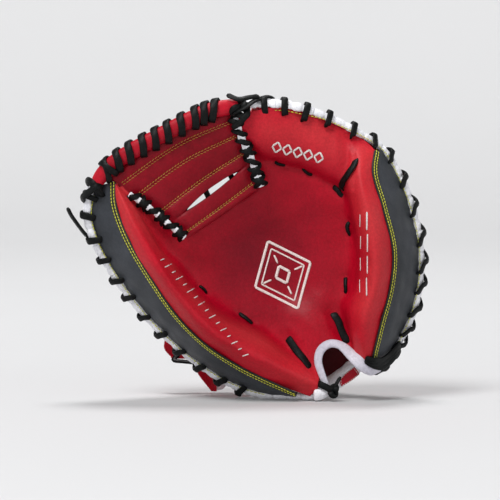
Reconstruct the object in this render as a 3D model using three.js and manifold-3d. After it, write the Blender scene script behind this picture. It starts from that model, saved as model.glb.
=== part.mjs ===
// A left-hand baseball catcher's mitt, standing on its heel with the pocket facing -Y. Millimetres, +Z up.
// Shapes are drawn in a design frame whose floor is Z = 0, and the last lines move them onto the origin.
import * as THREE from 'three';
import { mergeVertices } from 'three/addons/utils/BufferGeometryUtils.js';
import Module from 'manifold-3d';

const wasm = await Module();
wasm.setup();

// Driving dimensions
const LEATHER = 3;            // thickness of the palm and panel leather
const SHELL = 3;              // thickness of the back leather
const GAP = 0.6;              // clearance between neighbouring layers
const CORE_GAP = 2;           // clearance between a pad's cover and its padding
const CORE_BACK = 12;         // depth of the flat back of the padding
const PALM_PADDING = 8;       // thickness of the padding behind the pocket
const LINING = 1.5;           // thickness of the palm lining and the stalls
const BINDING_REACH = 2.6;    // half the height of the rim binding, square to the rim
const BINDING_DEPTH = 4.2;    // half the depth of the rim binding, front to back
const LACE_WIDTH = 4.4;       // width of the rawhide laces
const LACE_THICKNESS = 1.8;   // thickness of the rawhide laces
const RIM_LACE_PITCH = 17;    // distance between the wraps along the rim
const WEB_LACE_PITCH = 10;    // distance between the wraps along the top of the web
const RIM_INSET = 0.37;       // how far the side panels stay back from the rim, as a share of the section
const STRAP_WIDTH = 25;
const STRAP_THICKNESS = 3;

// Leather and lace colours
const RED = 0xb8242f;
const CHARCOAL = 0x3b3d41;
const WHITE = 0xe6e6ea;
const BLACK = 0x1c2222;
const FOAM = 0xd9c9a6;
const CREAM = 0xe9dccb;

// Each station crosses one side of the mitt: rim, seam, pad crest and crease at the pocket's edge.
const THUMB_STATIONS = [
  [[-131, -6, 168], [-113, -14, 172], [-111, -17, 170.5], [-108, -15, 168]],
  [[-134, -3, 146], [-112, -18, 155], [-104, -27, 156], [-93, -14, 152]],
  [[-129, 0, 126], [-107, -21, 139], [-97, -33, 141], [-82, -11, 135]],
  [[-118, 5, 105], [-98, -24, 120], [-87, -39, 124], [-73, -7, 121]],
  [[-101, 9, 80], [-82, -26, 94], [-73, -42, 101], [-61, -3, 108]],
  [[-79, 11, 55], [-63, -26, 67], [-55, -42, 77], [-44, -1, 87]],
  [[-51, 12, 30], [-41, -25, 45], [-32, -40, 54], [-20, 0, 69]],
  [[-22, 8, 11.5], [-16, -22, 28], [-8, -35, 40], [4, 0, 57]],
  [[3, 3, 2.4], [7, -18, 16], [13, -30, 29], [21, -3, 43]],
  [[37, -6, 2.2], [30, -18, 6], [35, -24, 14], [41, -8, 25]],
];
const FINGER_STATIONS = [
  [[99, 4, 197], [93, -8, 196], [84, -18, 193], [72, -12, 190]],
  [[113, 7, 175], [91, -18, 179], [80, -28, 176], [66, -10, 173]],
  [[123, 10, 149], [98, -24, 153], [85, -36, 152], [69, -5, 148]],
  [[129, 12, 119], [106, -26, 118], [91, -40, 118], [73, -2, 118]],
  [[128, 13, 88], [104, -26, 90], [90, -41, 92], [71, -1, 95]],
  [[121, 12, 62], [97, -25, 62], [83, -38, 68], [65, -2, 74]],
  [[110, 11, 41], [92, -20, 40], [82, -30, 48], [69, -4, 53]],
  [[97, 10, 25], [90, -12, 28], [83, -20, 33], [73, -8, 38]],
];
// Rows across the pocket from the thumb crease to the finger crease, from the heel to the web.
const POCKET_ROWS = [
  [[43.5, -5, 29], [58, -6, 46], [69, -7, 41]],
  [[24, -2, 47], [45, 0, 56], [66, -4, 55]],
  [[7, 1, 59], [34, 5, 68], [62.5, -1, 74]],
  [[-17, 1, 73], [26, 9, 84], [68, 0, 95]],
  [[-41, 0, 90], [15, 11, 104], [70, -1, 118]],
  [[-59, -2, 108], [6, 11, 126], [67, -4, 147]],
  [[-68, -3, 123], [-1, 9, 153], [63, -9, 170]],
];
// Rows over the index finger, from the web's edge to the finger pad, upwards to the top rim.
const INDEX_ROWS = [
  [[6, 7, 151], [34, 5, 157], [64, -8, 163]],
  [[3, 1, 176], [33, -1, 184], [67, -12, 187]],
  [[-9, -8, 206], [30, -6, 210], [73, -9, 204]],
  [[-12, -13, 223], [30, -11, 222], [69, -4, 207]],
];
// Rows of the web from its thumb edge to its finger edge, from the lower edge to the top roll.
const WEB_ROWS = [
  [[-54, -6, 131], [-27, -4, 151], [-1, -5, 169]],
  [[-62, -8, 137], [-33, -6, 160], [-5, -8, 181]],
  [[-77, -9, 147], [-43, -7, 173], [-9, -10, 195]],
  [[-94, -13, 162], [-55, -13, 190], [-15, -15, 210]],
  [[-109, -16, 177], [-66, -18, 207], [-20, -18, 226]],
];
const WEB_ROLL = [[-117, -16, 185], [-99, -19, 199], [-78, -21, 213], [-59, -22, 224], [-40, -22, 231],
  [-20, -20, 234]];
const THUMB_RIM = [...THUMB_STATIONS.map((station) => station[0]), [47, -7, 2.2]];
const FINGER_RIM = [[-5, -14, 233], [18, -13, 233], [41, -11, 228], [61, -7, 220], [80, -3, 210],
  ...FINGER_STATIONS.map((station) => station[0])];
// Inner edges of the two back shells, station by station, round the opening for the hand.
const THUMB_BACK_EDGE = [[-113, -3, 165], [-99, 7, 152], [-88, 20, 139], [-76, 33, 124], [-58, 44, 106],
  [-40, 51, 86], [-24, 54, 62], [-12, 50, 36], [4, 34, 18], [20, 20, 10]];
const FINGER_BACK_EDGE = [[-8, 0, 221], [-3, 18, 206], [1, 34, 190], [4, 44, 173], [8, 49, 155],
  [14, 52, 137], [22, 54, 121], [34, 56, 108], [48, 56, 94], [60, 55, 78], [70, 51, 58], [76, 44, 38]];
// Outer edge of the finger side's back shell
const FINGER_BACK_RIM = [[-4, -11, 229], [17, -9, 228], [39, -7, 224], [72, -1, 211], [95, 5, 196],
  [109, 8, 175], [119, 11, 149], [125, 13, 119], [124, 14, 88], [117, 13, 62], [106, 12, 42], [94, 11, 28]];

// The design frame's point that lies under the middle of the mitt's box
const ORIGIN = new THREE.Vector2(-7.72, 12.609);

const vector = (point) => new THREE.Vector3(...point);

/** A smooth curve through hand-placed points. */
function curveThrough(points) {
  return new THREE.CatmullRomCurve3(points.map(vector), false, 'centripetal');
}

/**
 * A surface through rows of hand-placed points.
 * Its two parameters run from 0 to 1: across runs along a row, along runs from row to row.
 */
function surfaceThrough(rows) {
  const columns = rows[0].map((_, i) => new THREE.CatmullRomCurve3(rows.map((row) => vector(row[i]))));
  return (across, along) => {
    const row = new THREE.CatmullRomCurve3(columns.map((column) => column.getPoint(along)));
    return row.getPoint(across);
  };
}

/** The same point, or the nearest one above a floor. */
function aboveFloor(point, floor = 0) {
  return new THREE.Vector3(point.x, point.y, Math.max(point.z, floor));
}

/** Turns a triangle list into a geometry whose faces point out. */
function closedGeometry(points, triangles) {
  let volume = 0;
  for (const [a, b, c] of triangles) {
    volume += points[a].dot(new THREE.Vector3().crossVectors(points[b], points[c]));
  }
  const order = volume < 0 ? triangles.map(([a, b, c]) => [a, c, b]) : triangles;
  const geometry = new THREE.BufferGeometry();
  geometry.setAttribute('position', new THREE.Float32BufferAttribute(points.flatMap((p) => p.toArray()), 3));
  geometry.setIndex(order.flat());
  return geometry;
}

/** A closed slab between two surfaces that share one grid of parameters. */
function slab(front, back, columns, rows) {
  const points = [];
  for (const side of [front, back]) {
    for (let j = 0; j <= rows; j += 1) {
      for (let i = 0; i <= columns; i += 1) {
        points.push(side(i / columns, j / rows));
      }
    }
  }
  const layer = (columns + 1) * (rows + 1);
  const at = (i, j, side) => side * layer + j * (columns + 1) + i;
  const triangles = [];
  const quad = (a, b, c, d) => triangles.push([a, b, c], [a, c, d]);
  for (let j = 0; j < rows; j += 1) {
    for (let i = 0; i < columns; i += 1) {
      quad(at(i, j, 0), at(i, j + 1, 0), at(i + 1, j + 1, 0), at(i + 1, j, 0));
      quad(at(i, j, 1), at(i + 1, j, 1), at(i + 1, j + 1, 1), at(i, j + 1, 1));
    }
  }
  for (let i = 0; i < columns; i += 1) {
    quad(at(i, 0, 0), at(i + 1, 0, 0), at(i + 1, 0, 1), at(i, 0, 1));
    quad(at(i, rows, 0), at(i, rows, 1), at(i + 1, rows, 1), at(i + 1, rows, 0));
  }
  for (let j = 0; j < rows; j += 1) {
    quad(at(0, j, 0), at(0, j, 1), at(0, j + 1, 1), at(0, j + 1, 0));
    quad(at(columns, j, 0), at(columns, j + 1, 0), at(columns, j + 1, 1), at(columns, j, 1));
  }
  return closedGeometry(points, triangles);
}

/** The same surface set back by a distance along +Y. */
function setBack(surface, distance) {
  return (across, along) => surface(across, along).add(new THREE.Vector3(0, distance, 0));
}

/** Part of a surface: its across parameter runs from one share to another. */
function strip(surface, from, to) {
  return (across, along) => surface(from + (to - from) * across, along);
}

/** A closed tube of a given section along a curve. */
function tube(curve, sectionPoints, steps) {
  const section = new THREE.Shape(sectionPoints.map(([x, y]) => new THREE.Vector2(x, y)));
  const extruded = new THREE.ExtrudeGeometry(section, { steps, extrudePath: curve, bevelEnabled: false });
  extruded.deleteAttribute('normal');
  extruded.deleteAttribute('uv');
  return mergeVertices(extruded);
}

/** An ellipse as section points. */
function ellipse(halfWidth, halfHeight, sides) {
  return Array.from({ length: sides }, (_, i) => {
    const angle = (i / sides) * Math.PI * 2;
    return [halfWidth * Math.cos(angle), halfHeight * Math.sin(angle)];
  });
}

/** A solid swept along a curve. Half its section is reach in the XZ plane and depth along Y. */
function roll(curve, reach, depth, steps, sides = 8, floor = 0) {
  const points = [];
  const triangles = [];
  for (let j = 0; j <= steps; j += 1) {
    const centre = curve.getPoint(j / steps);
    const tangent = curve.getTangent(j / steps);
    const outward = new THREE.Vector3(tangent.z, 0, -tangent.x).normalize();
    for (let i = 0; i < sides; i += 1) {
      const angle = ((i + 0.5) / sides) * Math.PI * 2;
      const point = centre.clone().addScaledVector(outward, reach * Math.cos(angle));
      point.y += depth * Math.sin(angle);
      points.push(aboveFloor(point, floor));
    }
  }
  for (let j = 0; j < steps; j += 1) {
    for (let i = 0; i < sides; i += 1) {
      const next = (i + 1) % sides;
      const [a, b] = [j * sides + i, j * sides + next];
      triangles.push([a, b, b + sides], [a, b + sides, a + sides]);
    }
  }
  for (let i = 1; i < sides - 1; i += 1) {
    const last = steps * sides;
    triangles.push([0, i + 1, i], [last, last + i, last + i + 1]);
  }
  return closedGeometry(points, triangles);
}

/** A lace that winds round a rim curve, square to it, as one unbroken strand. */
function windingLace(rim, pitch, reach, depth, floor, start = 0, end = 1) {
  const turns = Math.round((rim.getLength() * (end - start)) / pitch);
  const perTurn = 6;
  const path = [];
  for (let k = 0; k <= turns * perTurn; k += 1) {
    const along = start + ((end - start) * k) / (turns * perTurn);
    const centre = rim.getPointAt(along);
    const tangent = rim.getTangentAt(along);
    const outward = new THREE.Vector3(tangent.z, 0, -tangent.x).normalize();
    const angle = (k / perTurn) * Math.PI * 2;
    const point = centre.addScaledVector(outward, reach * Math.cos(angle));
    point.y += depth * Math.sin(angle);
    path.push(aboveFloor(point, floor));
  }
  const curve = new THREE.CatmullRomCurve3(path, false, 'centripetal');
  return tube(curve, ellipse(LACE_WIDTH / 3, LACE_THICKNESS / 2, 5), turns * perTurn);
}

/** A solid from a closed geometry, for cuts and joins. */
function asManifold(geometry) {
  const merged = mergeVertices(geometry);
  return new wasm.Manifold(new wasm.Mesh({
    numProp: 3,
    vertProperties: new Float32Array(merged.attributes.position.array),
    triVerts: new Uint32Array(merged.index.array),
  }));
}

/** A geometry from a cut or joined solid. */
function asGeometry(manifold) {
  const mesh = manifold.getMesh();
  const geometry = new THREE.BufferGeometry();
  geometry.setAttribute('position', new THREE.Float32BufferAttribute(mesh.vertProperties, 3));
  geometry.setIndex(Array.from(mesh.triVerts));
  return geometry;
}

const joined = (first, second) => asGeometry(asManifold(first).add(asManifold(second)));
const cut = (body, tool) => asGeometry(asManifold(body).subtract(asManifold(tool)));

const mitt = new THREE.Group();

/** Adds one named sub-part to the mitt. */
function addPart(name, geometry, color, roughness = 0.6) {
  const material = new THREE.MeshStandardMaterial({ color, roughness, metalness: 0 });
  const mesh = new THREE.Mesh(geometry, material);
  mesh.name = name;
  mitt.add(mesh);
}

// Pads and side panels

const SEAM_SHARE = 1 / 3;     // where the seam lies in a side section, rim 0 and crease 1
const SEAM_GAP = 0.015;       // bare share of the section on each side of a seam
const PANEL_TRIM = 0.04;      // how far a side panel stops short of each end of its side
const CORE_TRIM = 0.03;       // how far the padding stops short of the tip
const CORE_LENGTH = 0.92;     // the padding's share of its side's length
const CORE_FROM = 0.19;       // the padding's share of the section, rim side and crease side
const CORE_TO = 0.96;
const CORE_LEAST = 1.5;       // least thickness of the padding

/** One side's panel, pad cover and padding; coreDepth gives the flat back of the padding. */
function addSide(name, stations, rows, coreDepth) {
  const surface = surfaceThrough(stations);
  const panel = strip(surface, RIM_INSET * SEAM_SHARE, SEAM_SHARE - SEAM_GAP);
  const shortPanel = (across, along) => panel(across, PANEL_TRIM + (1 - 2 * PANEL_TRIM) * along);
  addPart(`${name}_side_panel`, slab(shortPanel, setBack(shortPanel, LEATHER), 3, rows), CHARCOAL);
  const pad = strip(surface, SEAM_SHARE + SEAM_GAP, 1 - SEAM_GAP);
  addPart(`${name}_pad_cover`, slab(pad, setBack(pad, LEATHER), 5, rows), RED);
  const inside = strip(setBack(surface, LEATHER + CORE_GAP), CORE_FROM, CORE_TO);
  const coreFront = (across, along) => inside(across, CORE_TRIM + CORE_LENGTH * along);
  const coreBack = (across, along) => {
    const point = coreFront(across, along);
    const depth = coreDepth(CORE_TRIM + CORE_LENGTH * along);
    return point.setY(Math.max(depth, point.y + CORE_LEAST));
  };
  addPart(`${name}_pad_core`, slab(coreFront, coreBack, 7, rows), FOAM, 0.9);
}

/** The thumb thins towards its tip, so its padding does too. */
function thumbCoreDepth(along) {
  const tipShare = 0.44;
  const fromTip = Math.max(0, 1 - along / tipShare);
  return CORE_BACK - 20 * fromTip ** 1.8;
}

addSide('thumb', THUMB_STATIONS, 14, thumbCoreDepth);
addSide('finger', FINGER_STATIONS, 10, () => CORE_BACK);

// Pocket leather, its padding and the lining against the hand

const pocket = strip(surfaceThrough(POCKET_ROWS), 0.02, 0.975);
const index = strip(surfaceThrough(INDEX_ROWS), 0, 0.96);
const pocketSlab = slab(pocket, setBack(pocket, LEATHER), 8, 10);
addPart('palm_leather', joined(pocketSlab, slab(index, setBack(index, LEATHER), 5, 6)), RED);
const PADDING_TRIM = 0.05;    // how far the padding stops short of each edge of the pocket
const paddingShare = (value) => PADDING_TRIM + (1 - 2 * PADDING_TRIM) * value;
const underPocket = (across, along) => pocket(paddingShare(across), paddingShare(along));
const paddingFront = setBack(underPocket, LEATHER + GAP);
addPart('palm_pad_core', slab(paddingFront, setBack(paddingFront, PALM_PADDING), 8, 9), FOAM, 0.9);
const liningFront = setBack(paddingFront, PALM_PADDING + GAP);
addPart('palm_lining', slab(liningFront, setBack(liningFront, LINING), 8, 9), CREAM, 0.9);

// Web: ribbed panel with a slot, its top roll and its laces

const web = strip(surfaceThrough(WEB_ROWS), 0.02, 0.985);
// The slot's middle in the XZ plane, half its length, its slope and the pull of its two bowed edges
const SLOT = { middle: [-35, 166], half: 25, slope: 0.72, bow: 5.6 };

/** A lens-shaped cutter through the web, along the slot. */
function slotCutter() {
  const outline = new THREE.Shape();
  outline.moveTo(-SLOT.half, 0);
  outline.quadraticCurveTo(0, SLOT.bow, SLOT.half, 0);
  outline.quadraticCurveTo(0, -SLOT.bow, -SLOT.half, 0);
  const depth = 40;
  const lens = new THREE.ExtrudeGeometry(outline, { depth, bevelEnabled: false, curveSegments: 6 });
  lens.rotateZ(Math.atan(SLOT.slope));
  lens.rotateX(Math.PI / 2);
  lens.translate(SLOT.middle[0], depth / 2, SLOT.middle[1]);
  lens.deleteAttribute('normal');
  lens.deleteAttribute('uv');
  return lens;
}

const webFront = slab(web, setBack(web, LEATHER), 8, 10);
addPart('web_panel', cut(webFront, slotCutter()), RED);
const LINER_TRIM = 0.04;      // how far the web's back layer stops short of each edge
const linerShare = (value) => LINER_TRIM + (1 - 2 * LINER_TRIM) * value;
const webLiner = setBack((across, along) => web(linerShare(across), linerShare(along)), LEATHER + GAP);
addPart('web_back_panel', cut(slab(webLiner, setBack(webLiner, SHELL), 8, 10), slotCutter()), RED);
const webRoll = curveThrough(WEB_ROLL);
addPart('web_top_roll', roll(webRoll, 3.6, 4.4, 14), RED);
addPart('web_top_lace', windingLace(webRoll, WEB_LACE_PITCH, 5.9, 6.8, 0, 0.06, 0.93), BLACK, 0.5);

/** A lace that zigzags in front of a seam between the web and its neighbour. */
function zigzagLace(seam, turns, swing, lift) {
  const path = [];
  for (let k = 0; k <= turns * 2; k += 1) {
    const along = k / (turns * 2);
    const centre = seam.getPoint(along);
    const tangent = seam.getTangent(along);
    const sideways = new THREE.Vector3(tangent.z, 0, -tangent.x).normalize();
    centre.addScaledVector(sideways, k % 2 ? swing : -swing);
    centre.y -= lift;
    path.push(centre);
  }
  return tube(new THREE.CatmullRomCurve3(path), ellipse(LACE_WIDTH / 2.2, LACE_THICKNESS / 2, 6), turns * 6);
}

const WEB_THUMB_SEAM = [[-97, -15, 163], [-78, -13, 147], [-59, -10.5, 131]];
const WEB_FINGER_SEAM = [[-16, -18, 219], [-10, -15, 204], [-4, -12, 190], [2, -9, 170]];
const SEAM_LIFT = 4;          // how far the web's side laces stand in front of its seams
addPart('web_thumb_binding', roll(curveThrough(WEB_THUMB_SEAM), 1.6, 0.9, 8, 6), WHITE, 0.5);
addPart('web_finger_binding', roll(curveThrough(WEB_FINGER_SEAM), 1.8, 0.9, 8, 6), WHITE, 0.5);
addPart('web_thumb_lace', zigzagLace(curveThrough(WEB_THUMB_SEAM), 4, 1.4, SEAM_LIFT), BLACK, 0.5);
addPart('web_finger_lace', zigzagLace(curveThrough(WEB_FINGER_SEAM), 5, 2.5, SEAM_LIFT), BLACK, 0.5);
const slotLace = curveThrough([[-39, -12, 178], [-31, -12, 168], [-25, -11, 160]]);
addPart('web_slot_lace', tube(slotLace, ellipse(1.6, 0.9, 6), 4), BLACK, 0.5);

// Short laces that tie the palm leather down to its padding

const PALM_LACE_LIFT = 2.4;   // how far they stand in front of the leather

/** The depth of a surface at a place in the XZ plane, to the nearest of a fine grid of its points. */
function depthAt(surface, x, z) {
  const steps = 60;
  let nearest = Infinity;
  let depth = 0;
  for (let i = 0; i <= steps; i += 1) {
    for (let j = 0; j <= steps; j += 1) {
      const point = surface(i / steps, j / steps);
      const distance = Math.hypot(point.x - x, point.z - z);
      if (distance < nearest) {
        nearest = distance;
        depth = point.y;
      }
    }
  }
  return depth;
}

/** A short lace between two places in the XZ plane, just in front of the leather. */
function palmLace(surface, from, to, halfWidth) {
  const path = [0, 0.5, 1].map((share) => {
    const x = from[0] + (to[0] - from[0]) * share;
    const z = from[1] + (to[1] - from[1]) * share;
    return [x, depthAt(surface, x, z) - PALM_LACE_LIFT, z];
  });
  return tube(curveThrough(path), ellipse(halfWidth, LACE_THICKNESS / 2, 6), 3);
}

// The surface under each short lace, its two ends and half its width
const PALM_LACES = {
  palm_lace_thumb: [pocket, [-12, 68], [-3, 63], 1.4],
  palm_lace_middle: [pocket, [66, 84], [66, 95], 1.4],
  palm_lace_upper: [pocket, [66, 131], [66, 140], 1.4],
  index_lace_left: [index, [13, 188], [22, 185], 1.2],
  index_lace_right: [index, [37, 181], [43, 178], 1.2],
  index_lace_top: [index, [70, 188], [65, 172], 1.8],
  heel_lace_left: [pocket, [28, 47], [44, 31], 1.8],
  heel_lace_right: [pocket, [60, 68], [66, 48], 1.8],
};
for (const [name, [surface, from, to, halfWidth]] of Object.entries(PALM_LACES)) {
  addPart(name, palmLace(surface, from, to, halfWidth), BLACK, 0.5);
}

// Rim bindings and the laces wound round them

const thumbRim = curveThrough(THUMB_RIM);
const fingerRim = curveThrough(FINGER_RIM);
const LACE_OFFSET = LACE_WIDTH / 3 + GAP;
const LACE_FLOOR = 1.6;       // laces never reach lower than this, so the binding carries the mitt
const LAST_WRAP = 0.77;       // the thumb's lace stops winding here, before the binding meets the floor
addPart('thumb_binding', roll(thumbRim, BINDING_REACH, BINDING_DEPTH, 36), WHITE, 0.5);
addPart('finger_binding', roll(fingerRim, BINDING_REACH, BINDING_DEPTH, 34), WHITE, 0.5);

/** The lace wound round one rim's binding, over part of its length. */
function rimLace(rim, start, end) {
  const reach = BINDING_REACH + LACE_OFFSET;
  const depth = BINDING_DEPTH + LACE_OFFSET;
  return windingLace(rim, RIM_LACE_PITCH, reach, depth, LACE_FLOOR, start, end);
}

addPart('thumb_rim_lace', rimLace(thumbRim, 0.02, LAST_WRAP), BLACK, 0.5);
addPart('finger_rim_lace', rimLace(fingerRim, 0.02, 0.98), BLACK, 0.5);
const laceTail = curveThrough([[-140, -2, 137], [-146, -3, 143], [-149, -4, 151]]);
addPart('thumb_lace_tail', tube(laceTail, ellipse(2.4, 1.4, 6), 4), BLACK, 0.5);

// Back shells and the sleeves for the thumb and fingers

/** The inner face of a back shell, from the rim to the edge of the hand opening. It bulges towards +Y. */
function backSurface(rim, edge, stepBack) {
  const outer = new THREE.CatmullRomCurve3(rim.map(vector));
  const inner = new THREE.CatmullRomCurve3(edge.map(vector));
  return (across, along) => {
    const from = outer.getPoint(along);
    const to = inner.getPoint(along);
    const rise = Math.sin((across * Math.PI) / 2) ** 0.6;
    const point = from.clone().lerp(to, 0.08 + 0.92 * across);
    point.y = from.y + stepBack + (to.y - from.y - stepBack) * rise;
    return point;
  };
}

const thumbBackRim = THUMB_STATIONS.map(([rim, seam]) => [
  rim[0] + (seam[0] - rim[0]) * RIM_INSET,
  rim[1],
  rim[2] + (seam[2] - rim[2]) * RIM_INSET,
]);
const THUMB_BACK_END = 0.85;  // the thumb's back stops here, short of the heel, to leave the wrist opening
const thumbBack = backSurface(thumbBackRim, THUMB_BACK_EDGE, 7);
const fingerBack = backSurface(FINGER_BACK_RIM, FINGER_BACK_EDGE, 8);
const thumbBackPart = (across, along) => thumbBack(across, along * THUMB_BACK_END);
addPart('thumb_back_shell', slab(thumbBackPart, setBack(thumbBackPart, SHELL), 6, 13), RED);
addPart('finger_back_shell', slab(fingerBack, setBack(fingerBack, SHELL), 6, 16), RED);
const loopPatch = setBack((across, along) => thumbBack(0.6 + 0.3 * across, 0.64 + 0.1 * along), SHELL + GAP);
addPart('strap_loop_patch', slab(loopPatch, setBack(loopPatch, 1), 4, 4), BLACK, 0.9);

/** An open sleeve of lining leather for one finger, from its mouth to its tip. */
function stall(mouth, tip, halfWidth, halfDepth) {
  const along = new THREE.Vector3().subVectors(vector(tip), vector(mouth));
  const length = along.length();
  const tipTaper = 0.8;
  const wall = 0.12;
  const bend = length * 0.7;
  const outside = [[1, 0], [1, bend], [tipTaper, length]];
  const inside = [[tipTaper - wall, length], [1 - wall, bend], [1 - wall, 0]];
  const profile = [...outside, ...inside];
  const outline = [...profile, profile[0]].map(([radius, height]) => new THREE.Vector2(radius, height));
  const sleeve = mergeVertices(stripped(new THREE.LatheGeometry(outline, 12)));
  sleeve.scale(halfWidth, 1, halfDepth);
  const turn = new THREE.Quaternion().setFromUnitVectors(new THREE.Vector3(0, 1, 0), along.normalize());
  sleeve.applyQuaternion(turn);
  sleeve.translate(...mouth);
  return closedGeometryFrom(sleeve);
}

/** A geometry with positions only. */
function stripped(geometry) {
  geometry.deleteAttribute('normal');
  geometry.deleteAttribute('uv');
  return geometry;
}

/** The same geometry with its faces turned out. */
function closedGeometryFrom(geometry) {
  const position = geometry.attributes.position;
  const points = [];
  for (let i = 0; i < position.count; i += 1) {
    points.push(new THREE.Vector3().fromBufferAttribute(position, i));
  }
  const corners = Array.from(geometry.index.array);
  const triangles = [];
  for (let i = 0; i < corners.length; i += 3) {
    triangles.push(corners.slice(i, i + 3));
  }
  return closedGeometry(points, triangles);
}

// Each sleeve's mouth, tip, half width and half depth
const STALLS = {
  index_stall: [[8, 36, 128], [25, 26, 182], 10, 9],
  middle_stall: [[29, 37, 118], [52, 27, 172], 11, 9],
  ring_stall: [[47, 38, 103], [78, 29, 146], 11, 9],
  little_stall: [[61, 38, 84], [92, 30, 111], 10, 9],
  thumb_stall: [[-37, 33, 68], [-78, 22, 112], 12, 10],
};
for (const [name, [mouth, tip, halfWidth, halfDepth]] of Object.entries(STALLS)) {
  addPart(name, stall(mouth, tip, halfWidth, halfDepth), CREAM, 0.9);
}

// Heel: notch binding, knot, tag and the roll that the mitt stands on

const NOTCH = [[50, -10, 14], [47.5, -13, 32], [56, -12, 45], [69, -13, 43], [80, -25, 32]];
const notchCurve = curveThrough(NOTCH.map(([x, y, z]) => [x, y - 3, z]));
addPart('heel_binding', tube(notchCurve, ellipse(2.8, 1.6, 8), 16), WHITE, 0.5);
const heelKnot = new THREE.SphereGeometry(4.5, 10, 6).scale(1.1, 0.7, 1);
addPart('heel_lace_knot', mergeVertices(stripped(heelKnot.translate(56, -9, 11))), BLACK, 0.5);
const WRIST_ROLL = [[-3, 22, 6], [18, 21, 4.2], [40, 20, 4.2], [56, 18, 6], [72, 17, 17], [88, 18, 28]];
addPart('wrist_roll', wristRoll(), WHITE, 0.8);

/** The padded roll round the wrist opening, flat underneath where the mitt stands on it. */
function wristRoll() {
  const shape = tube(curveThrough(WRIST_ROLL), ellipse(4.5, 5, 10), 14);
  const position = shape.attributes.position;
  for (let i = 0; i < position.count; i += 1) {
    position.setZ(i, Math.max(position.getZ(i), 0));
  }
  return shape;
}

const tag = new THREE.BoxGeometry(12, 1.6, 10).translate(73, 8, 17);
addPart('heel_tag', tag, RED, 0.7);

// Wrist strap across the back, its closure and the tails behind the thumb's heel

const STRAP_LINE = [[76, 60, 64], [40, 63.5, 58], [0, 63.5, 51], [-38, 62, 43], [-72, 58, 36]];

/** A flat band along a line, square to +Y, with its width in the XZ plane. */
function band(line, halfWidth, thickness, steps) {
  const curve = curveThrough(line);
  const side = (offset) => (across, along) => {
    const centre = curve.getPoint(along);
    const tangent = curve.getTangent(along);
    const upward = new THREE.Vector3(-tangent.z, 0, tangent.x).normalize();
    centre.addScaledVector(upward, (across * 2 - 1) * halfWidth);
    centre.y += offset;
    return centre;
  };
  return slab(side(0), side(thickness), 1, steps);
}

addPart('wrist_strap', band(STRAP_LINE, STRAP_WIDTH / 2, STRAP_THICKNESS, 10), RED);
const strapInside = STRAP_LINE.map(([x, y, z]) => [x - 4, y - LINING - GAP, z - 1]);
addPart('strap_lining', band(strapInside.slice(0, 3), STRAP_WIDTH / 2 - 3, LINING, 8), WHITE, 0.9);
const hookLine = [[-16, 61, 47], [-28, 60.6, 45], [-40, 59.8, 42]];
addPart('strap_hook_patch', band(hookLine, STRAP_WIDTH / 2 - 4, 1, 4), BLACK, 0.9);
const tailTop = [[-42, 57, 27], [-38, 58, 12], [-33, 59, 0]];
addPart('strap_tail', tailBand(), RED);

/** The strap's hanging tail, which reaches the floor behind the thumb's heel. */
function tailBand() {
  const curve = curveThrough(tailTop);
  const side = (offset) => (across, along) => {
    const centre = curve.getPoint(along);
    centre.x += (across - 0.5) * (15 - 10 * along);
    centre.y += offset;
    return centre;
  };
  return slab(side(0), side(2.4), 2, 6);
}

const strapLaceTail = curveThrough([[-66, 52, 26], [-52, 53, 24], [-38, 54, 18]]);
addPart('strap_lace_tail', tube(strapLaceTail, ellipse(2.2, 1.3, 6), 5), BLACK, 0.5);

// The origin is on the floor, under the middle of the mitt's box.
mitt.position.set(-ORIGIN.x, -ORIGIN.y, 0);
mitt.updateMatrixWorld(true);

export default mitt;
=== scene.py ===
"""A baseball catcher's mitt: padded leather, a ribbed web, white bindings and rawhide laces.

The leather's shapes are drawn in the CAD program's design frame, in millimetres,
and put into the row frame, in metres, when their meshes are made.
"""

import math

import bmesh
import bpy
import numpy as np
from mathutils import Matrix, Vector


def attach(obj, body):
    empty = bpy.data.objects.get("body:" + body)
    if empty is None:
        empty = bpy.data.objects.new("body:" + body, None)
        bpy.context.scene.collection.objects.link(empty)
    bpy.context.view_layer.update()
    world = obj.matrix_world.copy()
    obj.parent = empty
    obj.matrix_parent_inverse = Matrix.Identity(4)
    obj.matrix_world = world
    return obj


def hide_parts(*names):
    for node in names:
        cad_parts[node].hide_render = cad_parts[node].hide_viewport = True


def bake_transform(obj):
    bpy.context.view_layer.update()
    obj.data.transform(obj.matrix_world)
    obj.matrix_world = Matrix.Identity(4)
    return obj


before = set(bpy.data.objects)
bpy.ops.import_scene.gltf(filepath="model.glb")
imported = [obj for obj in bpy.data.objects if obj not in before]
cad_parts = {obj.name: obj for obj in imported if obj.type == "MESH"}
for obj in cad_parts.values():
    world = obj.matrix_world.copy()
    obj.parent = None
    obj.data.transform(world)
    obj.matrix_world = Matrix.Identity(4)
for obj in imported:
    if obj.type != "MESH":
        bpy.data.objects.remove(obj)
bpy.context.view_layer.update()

# Frames and driving dimensions, in millimetres

MM = 0.001
DESIGN_TO_ROW = np.array([7.72, -12.609, 0.0])
FRONT = np.array([0, -1.0, 0])
BACK = np.array([0, 1.0, 0])
LEATHER = 3.0
LACE_WIDTH = 5.0
LACE_THICKNESS = 2.0
RIM_LACE_PITCH = 17.0
CELL = 1.7                      # usual mesh spacing of the leather
BEVEL_ANGLE = 55                # degrees between faces from which a sheet's edge is softened

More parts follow.
